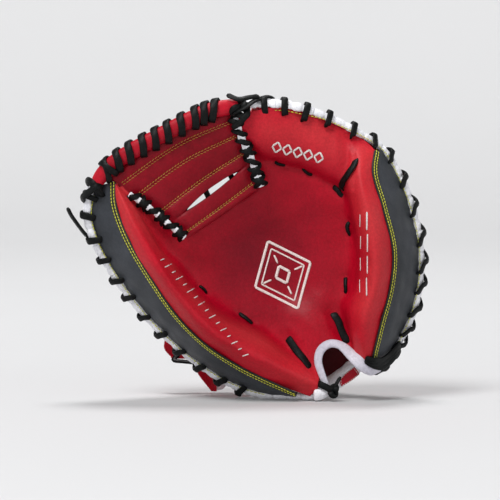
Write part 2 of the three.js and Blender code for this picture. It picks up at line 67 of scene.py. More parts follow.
# Stations across each side of the mitt: rim, seam, pad crest, crease at the pocket's edge
THUMB_STATIONS = np.array([
    [[-131, -6, 168], [-113, -14, 172], [-111, -17, 170.5], [-108, -15, 168]],
    [[-134, -3, 146], [-112, -18, 155], [-104, -27, 156], [-93, -14, 152]],
    [[-129, 0, 126], [-107, -21, 139], [-97, -33, 141], [-82, -11, 135]],
    [[-118, 5, 105], [-98, -24, 120], [-87, -39, 124], [-73, -7, 121]],
    [[-101, 9, 80], [-82, -26, 94], [-73, -42, 101], [-61, -3, 108]],
    [[-79, 11, 55], [-63, -26, 67], [-55, -42, 77], [-44, -1, 87]],
    [[-51, 12, 30], [-41, -25, 45], [-32, -40, 54], [-20, 0, 69]],
    [[-22, 8, 11.5], [-16, -22, 28], [-8, -35, 40], [4, 0, 57]],
    [[3, 3, 3.4], [7, -18, 16], [13, -30, 29], [21, -3, 43]],
    [[37, -6, 3.2], [30, -18, 6], [35, -24, 14], [41, -8, 25]],
])
FINGER_STATIONS = np.array([
    [[99, 4, 197], [93, -8, 196], [84, -18, 193], [72, -12, 190]],
    [[113, 7, 175], [91, -18, 179], [80, -28, 176], [66, -10, 173]],
    [[123, 10, 149], [98, -24, 153], [85, -36, 152], [69, -5, 148]],
    [[129, 12, 119], [106, -26, 118], [91, -40, 118], [73, -2, 118]],
    [[128, 13, 88], [104, -26, 90], [90, -41, 92], [71, -1, 95]],
    [[121, 12, 62], [97, -25, 62], [83, -38, 68], [65, -2, 74]],
    [[110, 11, 41], [92, -20, 40], [82, -30, 48], [69, -4, 53]],
    [[97, 10, 25], [90, -12, 28], [83, -20, 33], [73, -8, 38]],
])
# The pocket's middle, row by row, between the two creases: from the heel up past the web's finger edge
POCKET_MIDDLE = np.array([
    [58, -6, 46], [45, -5.5, 56], [34, -0.5, 68], [26, 9, 84], [15, 11, 104], [6, 11, 126],
    [-1, 8, 153], [-1, -2, 176], [-9, -11, 201], [-14, -15, 224],
])
# The upper right field's crease, crest and outer edge, above the finger pad's last full station
FIELD_TOP = np.array([
    [[69, -12, 191], [80, -19, 192.5], [93, -10, 194]],
    [[66, -9, 205], [76, -10, 204], [87, -6, 202]],
    [[60, -6, 219], [69, -5, 214], [79, -2, 208.5]],
])
WEB_ROWS = np.array([
    [[-55, -6.5, 127.5], [-26, -4.5, 146.5], [0, -5.5, 166]],
    [[-62, -8, 137], [-33, -6, 160], [-5, -8, 181]],
    [[-77, -9, 147], [-43, -7, 173], [-9, -10, 195]],
    [[-99, -13, 160], [-57, -13, 190], [-15, -15, 210]],
    [[-117, -13.5, 176], [-66, -18, 210], [-20, -18, 229]],
])
# The middle of the web's top roll: its upper edge lies 6 mm further out
WEB_ROLL = [[-127, -12.5, 170], [-120.6, -14, 178.5], [-113, -15.5, 186], [-95.5, -18, 197.5],
            [-75, -20, 208.5], [-56.5, -21, 218.5], [-38, -21, 227], [-15, -19, 231.5]]
WEB_THUMB_SEAM = [[-100.5, -16, 162.5], [-89, -15, 155], [-76, -13.5, 144.5], [-57, -11, 128]]
WEB_FINGER_SEAM = [[-18, -19, 222], [-12, -16, 205], [-5, -13, 190], [3, -10, 168]]
THUMB_RIM = np.vstack([THUMB_STATIONS[:, 0], [[45, -7.5, 3.4]]])
FINGER_RIM = np.vstack([[[-9, -15, 233], [5, -14, 233.5], [23, -13, 232.5], [42, -11, 227.5], [61, -7, 220],
                         [80, -3, 210]], FINGER_STATIONS[:, 0]])


# Curves, surfaces and fields of points


def row_frame(points):
    """Design points in millimetres as row frame points in metres."""
    return (np.asarray(points, float) + DESIGN_TO_ROW) * MM


def curve(points, shares):
    """Points at shares, 0 to 1, of a centripetal Catmull-Rom spline through the first axis of points."""
    p = np.asarray(points, float)
    shares = np.clip(np.asarray(shares, float), 0, 1)
    at = shares * (len(p) - 1)
    first = np.minimum(at.astype(int), len(p) - 2)
    w = (at - first).reshape((-1,) + (1,) * (p.ndim - 1))
    ends = np.concatenate([[2 * p[0] - p[1]], p, [2 * p[-1] - p[-2]]])
    p0, p1, p2, p3 = (ends[first + k] for k in range(4))

    def knot(a, b):
        return np.maximum(np.sqrt(np.linalg.norm(b - a, axis=-1, keepdims=True)), 1e-4)

    d0, d1, d2 = knot(p0, p1), knot(p1, p2), knot(p2, p3)
    t1 = d1 * ((p1 - p0) / d0 - (p2 - p0) / (d0 + d1) + (p2 - p1) / d1)
    t2 = d1 * ((p2 - p1) / d1 - (p3 - p1) / (d1 + d2) + (p3 - p2) / d2)
    c2 = -3 * p1 + 3 * p2 - 2 * t1 - t2
    c3 = 2 * p1 - 2 * p2 + t1 + t2
    return p1 + w * (t1 + w * (c2 + w * c3))


def even(points, spacing=None, count=None):
    """A smooth line through points, resampled at equal distances."""
    fine = curve(points, np.linspace(0, 1, 40 * len(points)))
    run = np.concatenate([[0], np.cumsum(np.linalg.norm(np.diff(fine, axis=0), axis=1))])
    count = count or max(3, int(round(run[-1] / spacing)) + 1)
    at = np.linspace(0, run[-1], count)
    return np.stack([np.interp(at, run, fine[:, k]) for k in range(3)], axis=1)


def surface(rows, across, along):
    """A grid of points on the surface through rows of points: [along, across, 3]."""
    columns = np.swapaxes(curve(rows, along), 0, 1)
    return np.swapaxes(curve(columns, across), 0, 1)


def patch(rows, across_count, along_count):
    """The whole surface through rows of points, as a grid of a given size."""
    return surface(rows, np.linspace(0, 1, across_count), np.linspace(0, 1, along_count))


def unit(vectors):
    """Vectors at length 1."""
    return vectors / np.maximum(np.linalg.norm(vectors, axis=-1, keepdims=True), 1e-9)


def normals(grid, towards=FRONT):
    """Unit normals of a grid, on the side of a direction."""
    n = unit(np.cross(np.gradient(grid, axis=1), np.gradient(grid, axis=0)))
    return n if (n @ towards).mean() > 0 else -n


def waves(points, size, seed, count=8):
    """Smooth, aimless unevenness of about -1 to 1 whose features are about size across."""
    rng = np.random.default_rng(seed)
    p = np.asarray(points, float)
    total = np.zeros(p.shape[:-1])
    for direction in unit(rng.normal(size=(count, 3))):
        turn = rng.uniform(0, 2 * np.pi)
        total += np.sin(p @ direction * (2 * np.pi / size / rng.uniform(0.7, 1.4)) + turn)
    return total / math.sqrt(count) / 1.2


def near(points, line, reach):
    """1 on a line of points, falling smoothly to 0 at reach from it."""
    p = np.asarray(points, float)
    flat = p.reshape(-1, 3)
    distance = np.full(len(flat), np.inf)
    for spot in np.asarray(line, float):
        distance = np.minimum(distance, np.linalg.norm(flat - spot, axis=1))
    w = np.clip(1 - distance / reach, 0, 1)
    return (w * w * (3 - 2 * w)).reshape(p.shape[:-1])


# Meshes


def add_object(name, data):
    """An object in the scene from its data."""
    made = bpy.data.objects.new(name, data)
    bpy.context.collection.objects.link(made)
    return made


def smooth(mesh):
    """Shades all of a mesh's faces smoothly."""
    mesh.polygons.foreach_set("use_smooth", [True] * len(mesh.polygons))


def make_object(name, points, faces, look):
    """A mesh object from design points; its own frame is the row frame."""
    mesh = bpy.data.meshes.new(name)
    mesh.from_pydata(row_frame(points).tolist(), [], [tuple(int(i) for i in face) for face in faces])
    smooth(mesh)
    mesh.materials.append(look)
    mesh.validate()
    return add_object(name, mesh)


def thicken(made, thickness, edge, offset=-1):
    """Gives a one-sided mesh a thickness and softened edges, both in millimetres."""
    shell = made.modifiers.new("thickness", "SOLIDIFY")
    shell.thickness = thickness * MM
    shell.offset = offset
    if edge:
        soft = made.modifiers.new("edge", "BEVEL")
        soft.width = edge * MM
        soft.segments = 2
        soft.limit_method = "ANGLE"
        soft.angle_limit = math.radians(BEVEL_ANGLE)
    graph = bpy.context.evaluated_depsgraph_get()
    result = bpy.data.meshes.new_from_object(made.evaluated_get(graph))
    made.modifiers.clear()
    made.data = result
    smooth(made.data)


def rework(made, weld=0.0, outwards=True, to_front=False):
    """Joins points that lie closer than weld, in millimetres, and turns faces outwards or to the front."""
    work = bmesh.new()
    work.from_mesh(made.data)
    if weld:
        bmesh.ops.remove_doubles(work, verts=work.verts, dist=weld * MM)
    if outwards:
        bmesh.ops.recalc_face_normals(work, faces=work.faces)
    if to_front and sum(face.normal.y for face in work.faces) > 0:
        bmesh.ops.reverse_faces(work, faces=work.faces)
    work.to_mesh(made.data)
    work.free()


def grid_faces(rows, columns, start=0, keep=None):
    """Quads of a grid of points; keep is a mask of the cells that stay."""
    at = start + np.arange(rows * columns).reshape(rows, columns)
    quads = np.stack([at[:-1, :-1], at[:-1, 1:], at[1:, 1:], at[1:, :-1]], axis=-1)
    quads = quads.reshape(-1, 4) if keep is None else quads[keep]
    return quads.tolist()


def sheet(name, grid, thickness, look, keep=None, front=FRONT, edge=0.8):
    """A sheet of leather: the grid is its outer face, and it thickens inwards, with softened edges."""
    rows, columns = grid.shape[:2]
    faces = grid_faces(rows, columns, keep=keep)
    outward = np.cross(grid[:-1, 1:] - grid[:-1, :-1], grid[1:, :-1] - grid[:-1, :-1])
    if (outward @ front).mean() < 0:
        faces = [face[::-1] for face in faces]
    made = make_object(name, grid.reshape(-1, 3), faces, look)
    thicken(made, thickness, edge)
    return made


def body_between(front, back):
    """Points and faces of a closed body between two grids of the same size, such as padding."""
    rows, columns = front.shape[:2]
    count = rows * columns
    faces = grid_faces(rows, columns) + [face[::-1] for face in grid_faces(rows, columns, count)]
    at = np.arange(count).reshape(rows, columns)
    rim = np.concatenate([at[0, :-1], at[:-1, -1], at[-1, :0:-1], at[:0:-1, 0]])
    for a, b in zip(rim, np.roll(rim, -1)):
        faces.append([b, a, a + count, b + count])
    return np.concatenate([front.reshape(-1, 3), back.reshape(-1, 3)]), faces


def tube_faces(count, sides):
    """Quads between rings of points, and a face over each end."""
    at = np.arange(count * sides).reshape(count, sides)
    beside = np.roll(at, -1, axis=1)
    quads = np.stack([at[:-1], beside[:-1], beside[1:], at[1:]], axis=-1)
    return [*quads.reshape(-1, 4).tolist(), at[0, ::-1].tolist(), at[-1].tolist()]


def sweep(path, up, half_width, half_thickness, sides=10, squareness=0.65, taper=0.55):
    """Points and faces of a closed strand along a path. up is the way its flat face looks, point by point."""
    path = np.asarray(path, float)
    count = len(path)
    along = unit(np.gradient(path, axis=0))
    up = np.broadcast_to(np.asarray(up, float), path.shape)
    up = unit(up - along * (up * along).sum(axis=1, keepdims=True))
    sideways = np.cross(along, up)
    half_width = np.broadcast_to(half_width, count).astype(float).copy()
    half_thickness = np.broadcast_to(half_thickness, count).astype(float).copy()
    for end in (0, -1):
        half_width[end] *= taper
        half_thickness[end] *= taper
    turn = (np.arange(sides) + 0.5) / sides * 2 * np.pi
    flat = np.sign(np.cos(turn)) * np.abs(np.cos(turn)) ** squareness
    high = np.sign(np.sin(turn)) * np.abs(np.sin(turn)) ** squareness
    rings = (path[:, None] + sideways[:, None] * (half_width[:, None] * flat)[..., None]
             + up[:, None] * (half_thickness[:, None] * high)[..., None])
    return rings.reshape(-1, 3), tube_faces(count, sides)


class Batch:
    """Many small closed bodies that become one object."""

    def __init__(self):
        self.points = []
        self.faces = []
        self.count = 0

    def add(self, body):
        points, faces = body
        self.points.append(points)
        self.faces += [[i + self.count for i in face] for face in faces]
        self.count += len(points)

    def make(self, name, look):
        made = make_object(name, np.concatenate(self.points), self.faces, look)
        rework(made)
        return made


def single(name, look, body):
    """One closed body, its points and faces, as an object."""
    batch = Batch()
    batch.add(body)
    return batch.make(name, look)


def place(made, body, slot, *nodes):
    """Puts a finished piece on its body, or across the thumb's bend, and hides the parts that it stands for.
    """
    if body == "bend":
        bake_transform(made)
    else:
        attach(made, body)
    if nodes:
        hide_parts(*nodes)


# Stitches and laces

SEAM_STITCH = {"pitch": 2.5, "length": 1.85, "width": 0.42}
RIM_STITCH = {"pitch": 3.2, "length": 2.1, "width": 0.36}
WEB_STITCH = {"pitch": 2.7, "length": 1.9, "width": 0.3}
TAG_STITCH = {"pitch": 1.9, "length": 1.3, "width": 0.3}
BACK_STITCH = {"pitch": 3.2, "length": 2.3, "width": 0.42}
STRAP_STITCH = {"pitch": 3.0, "length": 2.2, "width": 0.42}
THREAD_SINK = 0.5               # how deep a thread's ends lie in the leather


def stitch_row(batch, line, up, pitch, length, width, slant=0.0):
    """A row of short threads along a line. Each dips into the leather at its ends."""
    line = np.asarray(line, float)
    up = np.broadcast_to(np.asarray(up, float), line.shape)
    run = np.concatenate([[0], np.cumsum(np.linalg.norm(np.diff(line, axis=0), axis=1))])
    along = unit(np.gradient(line, axis=0))
    for at in np.arange(pitch / 2, run[-1], pitch):
        place_at = np.array([np.interp(at, run, line[:, k]) for k in range(3)])
        direction = unit(np.array([np.interp(at, run, along[:, k]) for k in range(3)]))
        lift = unit(np.array([np.interp(at, run, up[:, k]) for k in range(3)]))
        direction = unit(direction + slant * np.cross(lift, direction))
        steps = np.array([-0.5, -0.38, 0.0, 0.38, 0.5])
        heights = np.array([-THREAD_SINK, 0.0, width * 0.55, 0.0, -THREAD_SINK])
        path = place_at + np.outer(steps * length, direction) + np.outer(heights, lift)
        batch.add(sweep(path, lift, width, width * 0.85, sides=6, squareness=1.0, taper=0.8))


def lace_bar(batch, points, up, width=LACE_WIDTH, thickness=LACE_THICKNESS, seed=0, spacing=1.6):
    """One visible length of rawhide lace through given points, a little uneven in width."""
    path = even(points, spacing)
    shares = np.linspace(0, 1, len(path))
    up = np.asarray(up, float)
    if up.ndim == 2:
        up = curve(up, shares)
    wobble = 1 + 0.05 * waves(path, 9.0, seed)
    batch.add(sweep(path, up, width / 2 * wobble, thickness / 2 * (2 - wobble), sides=10))


# Procedural materials


def rgb(r, g, b):
    """An 8-bit sRGB colour as a linear one."""
    def linear(v):
        v /= 255
        return v / 12.92 if v <= 0.04045 else ((v + 0.055) / 1.055) ** 2.4
    return (linear(r), linear(g), linear(b), 1.0)


class Look:
    """Builds one Principled material with procedural colour, roughness and bump."""

    def __init__(self, name, roughness=0.5, specular=0.5):
        self.material = bpy.data.materials.new(name)
        self.material.use_nodes = True
        self.tree = self.material.node_tree
        self.shader = self.tree.nodes["Principled BSDF"]
        self.shader.inputs["Roughness"].default_value = roughness
        self.shader.inputs["Specular IOR Level"].default_value = specular
        self.place = self.tree.nodes.new("ShaderNodeTexCoord").outputs["Object"]

    def node(self, kind, links=None, **values):
        """A node with its settings and input values, by name, and links into its inputs."""
        made = self.tree.nodes.new(kind)
        for key, value in values.items():
            if hasattr(made, key):
                setattr(made, key, value)
            else:
                made.inputs[key.replace("_", " ")].default_value = value
        for key, socket in (links or {}).items():
            self.tree.links.new(socket, made.inputs[key])
        return made

    def noise(self, scale, detail=3.0, roughness=0.55):
        made = self.node("ShaderNodeTexNoise", {"Vector": self.place}, Scale=scale, Detail=detail,
                         Roughness=roughness)
        return made.outputs["Fac"]

    def cells(self, scale, feature="F1"):
        made = self.node("ShaderNodeTexVoronoi", {"Vector": self.place}, feature=feature, Scale=scale)
        return made.outputs["Distance"]

    def attribute(self, name):
        """The value of one of the mesh's point attributes."""
        return self.node("ShaderNodeAttribute", attribute_name=name).outputs["Fac"]

    def ramp(self, value, stops):
        """A colour or grey ramp: stops are (place, colour)."""
        made = self.node("ShaderNodeValToRGB", {"Fac": value})
        bands = made.color_ramp.elements
        for k, (at, colour) in enumerate(stops):
            band = bands[k] if k < 2 else bands.new(at)
            band.position = at
            band.color = colour
        return made.outputs["Color"]

    def span(self, value, low, high):
        """A noise value, which is mostly between 0.25 and 0.75, mapped to a range."""
        made = self.node("ShaderNodeMapRange", {"Value": value}, From_Min=0.25, From_Max=0.75, To_Min=low,
                         To_Max=high)
        return made.outputs["Result"]

    def blend(self, fac, a, b, mode="MIX"):
        made = self.node("ShaderNodeMix", data_type="RGBA", blend_type=mode)
        for key, value in ((0, fac), (6, a), (7, b)):
            if isinstance(value, bpy.types.NodeSocket):
                self.tree.links.new(value, made.inputs[key])
            else:
                made.inputs[key].default_value = value
        return made.outputs[2]

    def colour(self, socket):
        self.tree.links.new(socket, self.shader.inputs["Base Color"])

    def roughness(self, socket):
        self.tree.links.new(socket, self.shader.inputs["Roughness"])

    def bumps(self, *layers):
        """Stacks bump layers: (height socket, depth in millimetres)."""
        below = None
        for height, depth in layers:
            made = self.node("ShaderNodeBump", {"Height": height}, Distance=depth * MM, Strength=1.0)
            if below is not None:
                self.tree.links.new(below, made.inputs["Normal"])
            below = made.outputs["Normal"]
        self.tree.links.new(below, self.shader.inputs["Normal"])


def leather_look(name, dark, middle, light, rough=(0.38, 0.54), grain=0.05, crease=0.12, coat=0.04, tints=(),
                 specular=0.2):
    """Finished full-grain leather: cloudy colour, fine pores, soft creases and a thin coat.

    Tints are (attribute, colour): the colour shows where the mesh's attribute is 1.
    """
    look = Look(name, specular=specular)
    clouds = look.noise(22, 4, 0.6)
    shade = look.ramp(clouds, [(0.3, rgb(*dark)), (0.7, rgb(*light)), (0.5, rgb(*middle))])
    for attribute, colour in tints:
        shade = look.blend(look.attribute(attribute), shade, rgb(*colour))
    fine = look.noise(520, 3, 0.6)
    speck = look.ramp(fine, [(0.35, (0.86, 0.86, 0.86, 1)), (0.65, (1.06, 1.06, 1.06, 1))])
    look.colour(look.blend(1.0, shade, speck, "MULTIPLY"))
    look.roughness(look.span(look.noise(60, 5, 0.65), *rough))
    pores = look.cells(1150, "SMOOTH_F1")
    pebbles = look.cells(430, "DISTANCE_TO_EDGE")
    folds = look.noise(75, 4, 0.6)
    look.bumps((folds, crease * 3), (pebbles, grain * 2.0), (pores, grain * 1.5),
               (look.noise(2600, 2), grain * 0.6))
    look.shader.inputs["Coat Weight"].default_value = coat
    look.shader.inputs["Coat Roughness"].default_value = 0.32
    return look.material


def rawhide_look(name, dark, light):
    """Oiled rawhide: nearly black, drawn-out fibres, scuffed edges."""
    look = Look(name, specular=0.14)
    fibres = look.noise(240, 5, 0.7)
    look.colour(look.ramp(fibres, [(0.32, rgb(*dark)), (0.72, rgb(*light))]))
    look.roughness(look.span(look.noise(170, 4), 0.4, 0.62))
    look.bumps((look.noise(160, 4, 0.6), 0.4), (look.cells(800), 0.09), (fibres, 0.2))
    look.shader.inputs["Coat Weight"].default_value = 0.03
    look.shader.inputs["Coat Roughness"].default_value = 0.3
    return look.material


def thread_look(name, dark, light):
    """Twisted nylon thread."""
    look = Look(name, 0.42)
    look.colour(look.ramp(look.noise(900, 2), [(0.3, rgb(*dark)), (0.7, rgb(*light))]))
    twist = look.node("ShaderNodeTexWave", {"Vector": look.place}, bands_direction="DIAGONAL", Scale=900)
    look.bumps((twist.outputs["Fac"], 0.12))
    look.shader.inputs["Sheen Weight"].default_value = 0.2
    return look.material


def fibre_look(name, dark, light, scale=420, depth=0.5, sheen=0.5, roughness=0.92):
    """Felt, fleece, lining or hook tape: matted fibres of one scale."""
    look = Look(name, roughness, 0.2)
    tufts = look.noise(scale, 6, 0.72)
    look.colour(look.ramp(tufts, [(0.28, rgb(*dark)), (0.72, rgb(*light))]))
    look.bumps((look.noise(scale * 0.25, 4), depth * 2), (tufts, depth),
               (look.cells(scale * 2.2), depth * 0.5))
    look.shader.inputs["Sheen Weight"].default_value = sheen
    look.shader.inputs["Sheen Roughness"].default_value = 0.6
    return look.material


RED = leather_look("red_leather", (160, 0, 26), (180, 2, 32), (196, 12, 40))
# The palm's leather: two point attributes paint shade into the pocket and highlights onto the pads.
PALM_RED = leather_look("palm_leather", (158, 0, 26), (178, 2, 32), (194, 8, 38), specular=0.15, coat=0.03,
                        tints=(("pad_painted_highlight", (194, 46, 52)), ("pocket_painted_shade", (112, 0, 22))))
# The web's leather: the red darkened as painted shade, for a web that lies in shadow.
WEB_RED_PAINTED_SHADE = leather_look("web_leather_painted_shade", (112, 0, 14), (126, 0, 20), (140, 4, 26), crease=0.16, specular=0.14)
CHARCOAL = leather_look("charcoal_leather", (40, 43, 47), (49, 52, 57), (60, 63, 69), (0.42, 0.58),
                        grain=0.04, crease=0.1, coat=0.05)
WELT = leather_look("welt_leather", (30, 31, 31), (38, 39, 38), (46, 47, 46), (0.5, 0.65), coat=0.0)
WHITE = leather_look("white_leather", (214, 214, 220), (228, 228, 233), (240, 240, 244), (0.36, 0.5),
                     grain=0.04, crease=0.22)
# The heel's binding: white leather with its own faint lavender tone, darkened as painted shade.
PEARL_PAINTED_SHADE = leather_look("heel_leather_painted_shade", (182, 179, 195), (196, 193, 206), (210, 208, 217), (0.36, 0.5),
                     grain=0.035, crease=0.14)
# A dark red that paints the shade inside the mitt's heel opening.
SHADE_RED = leather_look("inside_leather_painted_shade", (62, 8, 14), (78, 12, 19), (94, 16, 24), (0.6, 0.75), coat=0.0)
BLACK = rawhide_look("black_rawhide", (2, 3, 3), (14, 16, 16))
YELLOW = thread_look("seam_thread", (176, 178, 20), (228, 224, 52))
OCHRE = thread_look("web_thread", (158, 108, 22), (202, 152, 46))
SILVER = thread_look("ornament_thread", (196, 186, 184), (236, 228, 224))
CREAM_THREAD = thread_look("emblem_thread", (220, 205, 200), (246, 236, 230))
FELT = fibre_look("felt", (190, 172, 128), (226, 212, 172), 380, 0.5)
LINING = fibre_look("lining", (205, 186, 160), (228, 212, 188), 900, 0.2, 0.25)
FLEECE = fibre_look("fleece", (226, 225, 232), (252, 252, 254), 300, 0.7, 0.7)
HOOKS = fibre_look("hook_tape", (12, 12, 14), (46, 46, 50), 1300, 0.4, 0.3, 0.8)


# Palm: one sheet from the thumb's seam over the pocket to the finger side's seam

# Columns of the palm's control net: thumb seam 0, its crest 1 and crease 3, the middle 5, and on the finger
# side the crease 7, crest 9 and seam 10
NET_COLUMNS, NET_ROWS = 10, 9
PALM_GIRTH, PALM_HEIGHT = 285, 262      # along the leather's surface
POCKET_LEFT = np.array([
    [51, -6.5, 39], [34, -4, 51], [19, 1, 63], [3, 5, 78.5], [-15, 7, 96], [-29, 3, 117],
    [-37, -1.5, 137.5], [-42, -3, 158], [-51, -8, 178], [-61, -12, 198],
])
POCKET_RIGHT = np.array([
    [64, -7, 44], [56, -5.5, 55], [48.5, -1, 70.5], [48, 4, 89], [43, 7, 111], [38, 6, 136],
    [32, 2, 162], [33, -3, 186], [31, -7, 208], [24, -12, 230],
])
HEEL_ROW = [[41, -12, 3.6], [47.5, -16, 11], [48, -13.5, 18], [47, -10.5, 26], [49, -9, 35], [56, -9, 43],
            [65, -10, 43], [73, -13, 38], [78, -17, 36], [84, -20, 32], [90, -12, 28]]
PALM_LACES = [
    # ends in the XZ plane, width
    ([23, 49], [42, 25], 6.0), ([60, 69], [71, 44], 6.0), ([-15, 67], [-4, 60], 3.2),
    ([71.5, 140], [71.5, 130], 3.0), ([70, 96], [69.5, 84], 3.0), ([13, 188], [22, 185], 2.6),
    ([35, 182], [43, 177.5], 2.6), ([-46, 89], [-40, 84], 2.2), ([60, 169], [67, 161], 4.0),
]
# A palm lace's run: share of its length, height over the leather
PALM_LACE_RUN = ((0, -2.2), (0.06, 0.3), (0.3, 1.2), (0.5, 1.35), (0.7, 1.2), (0.94, 0.3), (1, -2.2))
# The wide lace at the index field's outer corner: X, Z, height over the leather
INDEX_TIE = ((76, 190, -2), (76.5, 188, 1), (75, 184, 1.8), (71, 178, 1.8), (67.5, 172, 1.5),
             (66, 167.5, 0.8), (66.5, 165, -2))
# Where the pocket meets the padded field over the index finger, in the XZ plane
INDEX_CREASE = [(-12, 198), (3, 190), (21, 185), (43, 178), (63, 167), (75, 152)]
FIELD_HEIGHT, FIELD_BULGE, FIELD_FOLD = 46, 7.5, 1.6
WEB_TUCK = 4.5                  # how far back the leather goes beside the web
PAD_SWELL, FINE_SWELL, CREASE_DEPTH = 0.9, 0.22, 0.18
HOLE_DENT, LACE_DENT = 0.9, 0.6         # how deep a palm lace presses in, at its ends and along its run


def pad_shoulder(crest, crease):
    """The control point between a pad's crest and its crease, which keeps the pad full."""
    return crest * 0.45 + crease * 0.55 + FRONT * 0.2 * (crease[1] - crest[1])


def palm_net():
    """The palm's control points, from the heel upwards, eleven to a row."""
    rows = [HEEL_ROW]
    for r in range(1, NET_ROWS + 1):
        seam, crest, crease = THUMB_STATIONS[NET_ROWS - r, 1:]
        far_crease, far_crest, far_seam = FINGER_STATIONS[7 - r, :0:-1] if r <= 6 else FIELD_TOP[r - 7]
        middle = POCKET_MIDDLE[r] + FRONT * (5 if r == 6 else 0)
        left = [seam, crest, pad_shoulder(crest, crease), crease, POCKET_LEFT[r], middle, POCKET_RIGHT[r]]
        rows.append([*left, far_crease, pad_shoulder(far_crest, far_crease), far_crest, far_seam])
    return np.array(rows, float)


def palm_grid():
    """The palm's outer face with its dents and folds, and each point's place in the control net."""
    across = np.linspace(0, 1, int(PALM_GIRTH / CELL))
    along = np.linspace(0, 1, int(PALM_HEIGHT / CELL))
    grid = surface(palm_net(), across, along)
    column, row = np.meshgrid(across * NET_COLUMNS, along * NET_ROWS)
    out = normals(grid)
    tuck = np.clip((column - 3.12) / 0.2, 0, 1) * np.clip((row - 6.3) / 0.4, 0, 1) * (column < 5.2)
    grid[..., 1] += WEB_TUCK * tuck * np.clip((5.25 - column) / 0.6, 0, 1)
    rise = (grid[..., 2] - np.interp(grid[..., 0], *zip(*INDEX_CREASE))) * 0.9
    on_field = np.clip((76 - grid[..., 0]) / 14, 0, 1) * (row > 5.5) * (column > 4.6)
    bulge = FIELD_BULGE * np.sin(np.pi * np.clip(rise / FIELD_HEIGHT, 0, 1) ** 0.7)
    grid[..., 1] -= (bulge - FIELD_FOLD * np.exp(-((rise / 4.5) ** 2))) * on_field
    pads = np.clip(1 - np.abs(column - 1.5) / 1.6, 0, 1) + np.clip(1 - np.abs(column - 8.5) / 1.6, 0, 1)
    swell = PAD_SWELL * waves(grid, 62, 3) * (0.5 + 0.5 * pads) + FINE_SWELL * waves(grid, 21, 4)
    lines = np.clip(waves(grid * np.array([1.0, 1.0, 0.35]), 9, 8, 10), 0.2, 1) - 0.2
    swell -= CREASE_DEPTH * lines * (1 - pads).clip(0.15)
    grid = grid + out * swell[..., None]
    for start, end, width in PALM_LACES:
        ends = [surface_frame(grid, out, *at)[0] for at in (start, end)]
        for line, depth in ((ends[:1], HOLE_DENT), (ends[1:], HOLE_DENT), (np.linspace(*ends, 6), LACE_DENT)):
            grid = grid - out * (depth * near(grid, line, 4 + width)[..., None])
    return grid, column, row


def surface_frame(grid, out, x, z):
    """The grid's point nearest to a place in the XZ plane, and its normal."""
    flat = grid.reshape(-1, 3)
    k = np.argmin((flat[:, 0] - x) ** 2 + (flat[:, 2] - z) ** 2)
    return flat[k], out.reshape(-1, 3)[k]


def laid_line(grid, out, outline, lift):
    """A line of points in the XZ plane laid on a grid's surface, with its normals, smoothed along the way."""
    places = [surface_frame(grid, out, x, z) for x, _, z in outline]
    depth = np.array([p[1] for p, _ in places])
    ups = np.array([up for _, up in places])
    for _ in range(3):
        if len(depth) > 4:
            depth[1:-1] = (depth[:-2] + depth[1:-1] + depth[2:]) / 3
            ups[1:-1] = unit(ups[:-2] + ups[1:-1] + ups[2:])
    line = np.array(outline, float)
    line[:, 1] = depth
    return line + ups * lift, ups


def tint_palm(made):
    """Paints shade into the pocket, darkest near its middle, and paints highlights along the pads' crests and
    the field over the fingers.
    """
    flat = np.empty(len(made.data.vertices) * 3)
    made.data.vertices.foreach_get("co", flat)
    points = flat.reshape(-1, 3) / MM - DESIGN_TO_ROW
    x, _, z = points.T
    spot = np.exp(-(((x + 6) / 46) ** 2 + ((z - 112) / 46) ** 2))
    wide = np.exp(-((((x - 14) / 62) ** 2 + ((z - 116) / 68) ** 2) ** 2))
    clouds = 1 + 0.12 * waves(points, 34, 15)
    # Painted shade, strongest near the pocket's middle
    pocket_painted_shade = np.clip((0.5 * spot + 0.42 * wide) * clouds, 0, 1)
    # Painted highlights along the pads' crests and the field over the fingers
    pads = [(THUMB_STATIONS[:, 2] * 0.6 + THUMB_STATIONS[:, 3] * 0.4, 26, 1.0),
            (FINGER_STATIONS[:, 2], 28, 0.9),
            (np.array([[12, -14, 216], [34, -14, 212], [60, -12, 202]]), 30, 0.85)]
    pad_painted_highlight = np.zeros(len(points))
    for line, reach, most in pads:
        pad_painted_highlight = np.maximum(pad_painted_highlight, most * near(points, even(line, 6.0), reach))
    pad_painted_highlight = np.clip(pad_painted_highlight * (0.85 + 0.25 * waves(points, 40, 16)), 0, 1)
    for name, values in (("pocket_painted_shade", pocket_painted_shade), ("pad_painted_highlight", pad_painted_highlight)):
        made.data.attributes.new(name, "FLOAT", "POINT").data.foreach_set("value", values)


def palm_leather():
    """The palm's one sheet, open where the web is, and the grid that other pieces are laid on."""
    grid, column, row = palm_grid()
    web_window = (row > 6.45) & (column > 3.5 - 0.1 * (row - 6.45)) & (column < 4.9)
    keep = ~web_window[:-1, :-1]
    made = sheet("palm_sheet", grid, LEATHER, PALM_RED, keep)
    # Painted shade in the pocket and painted highlights on the pads
    tint_palm(made)
    place(made, "bend", "red_leather", "palm_leather", "thumb_pad_cover", "finger_pad_cover")
    return grid


PALM = palm_leather()
PALM_OUT = normals(PALM)


def palm_lace(batch, run, width, thickness, seed):
    """A lace over the palm through places of X, Z and height over the leather."""
    places = [surface_frame(PALM, PALM_OUT, x, z) for x, z, _ in run]
    points = [at + out * lift for (at, out), (_, _, lift) in zip(places, run)]
    lace_bar(batch, points, [out for _, out in places], width, thickness, seed=seed)


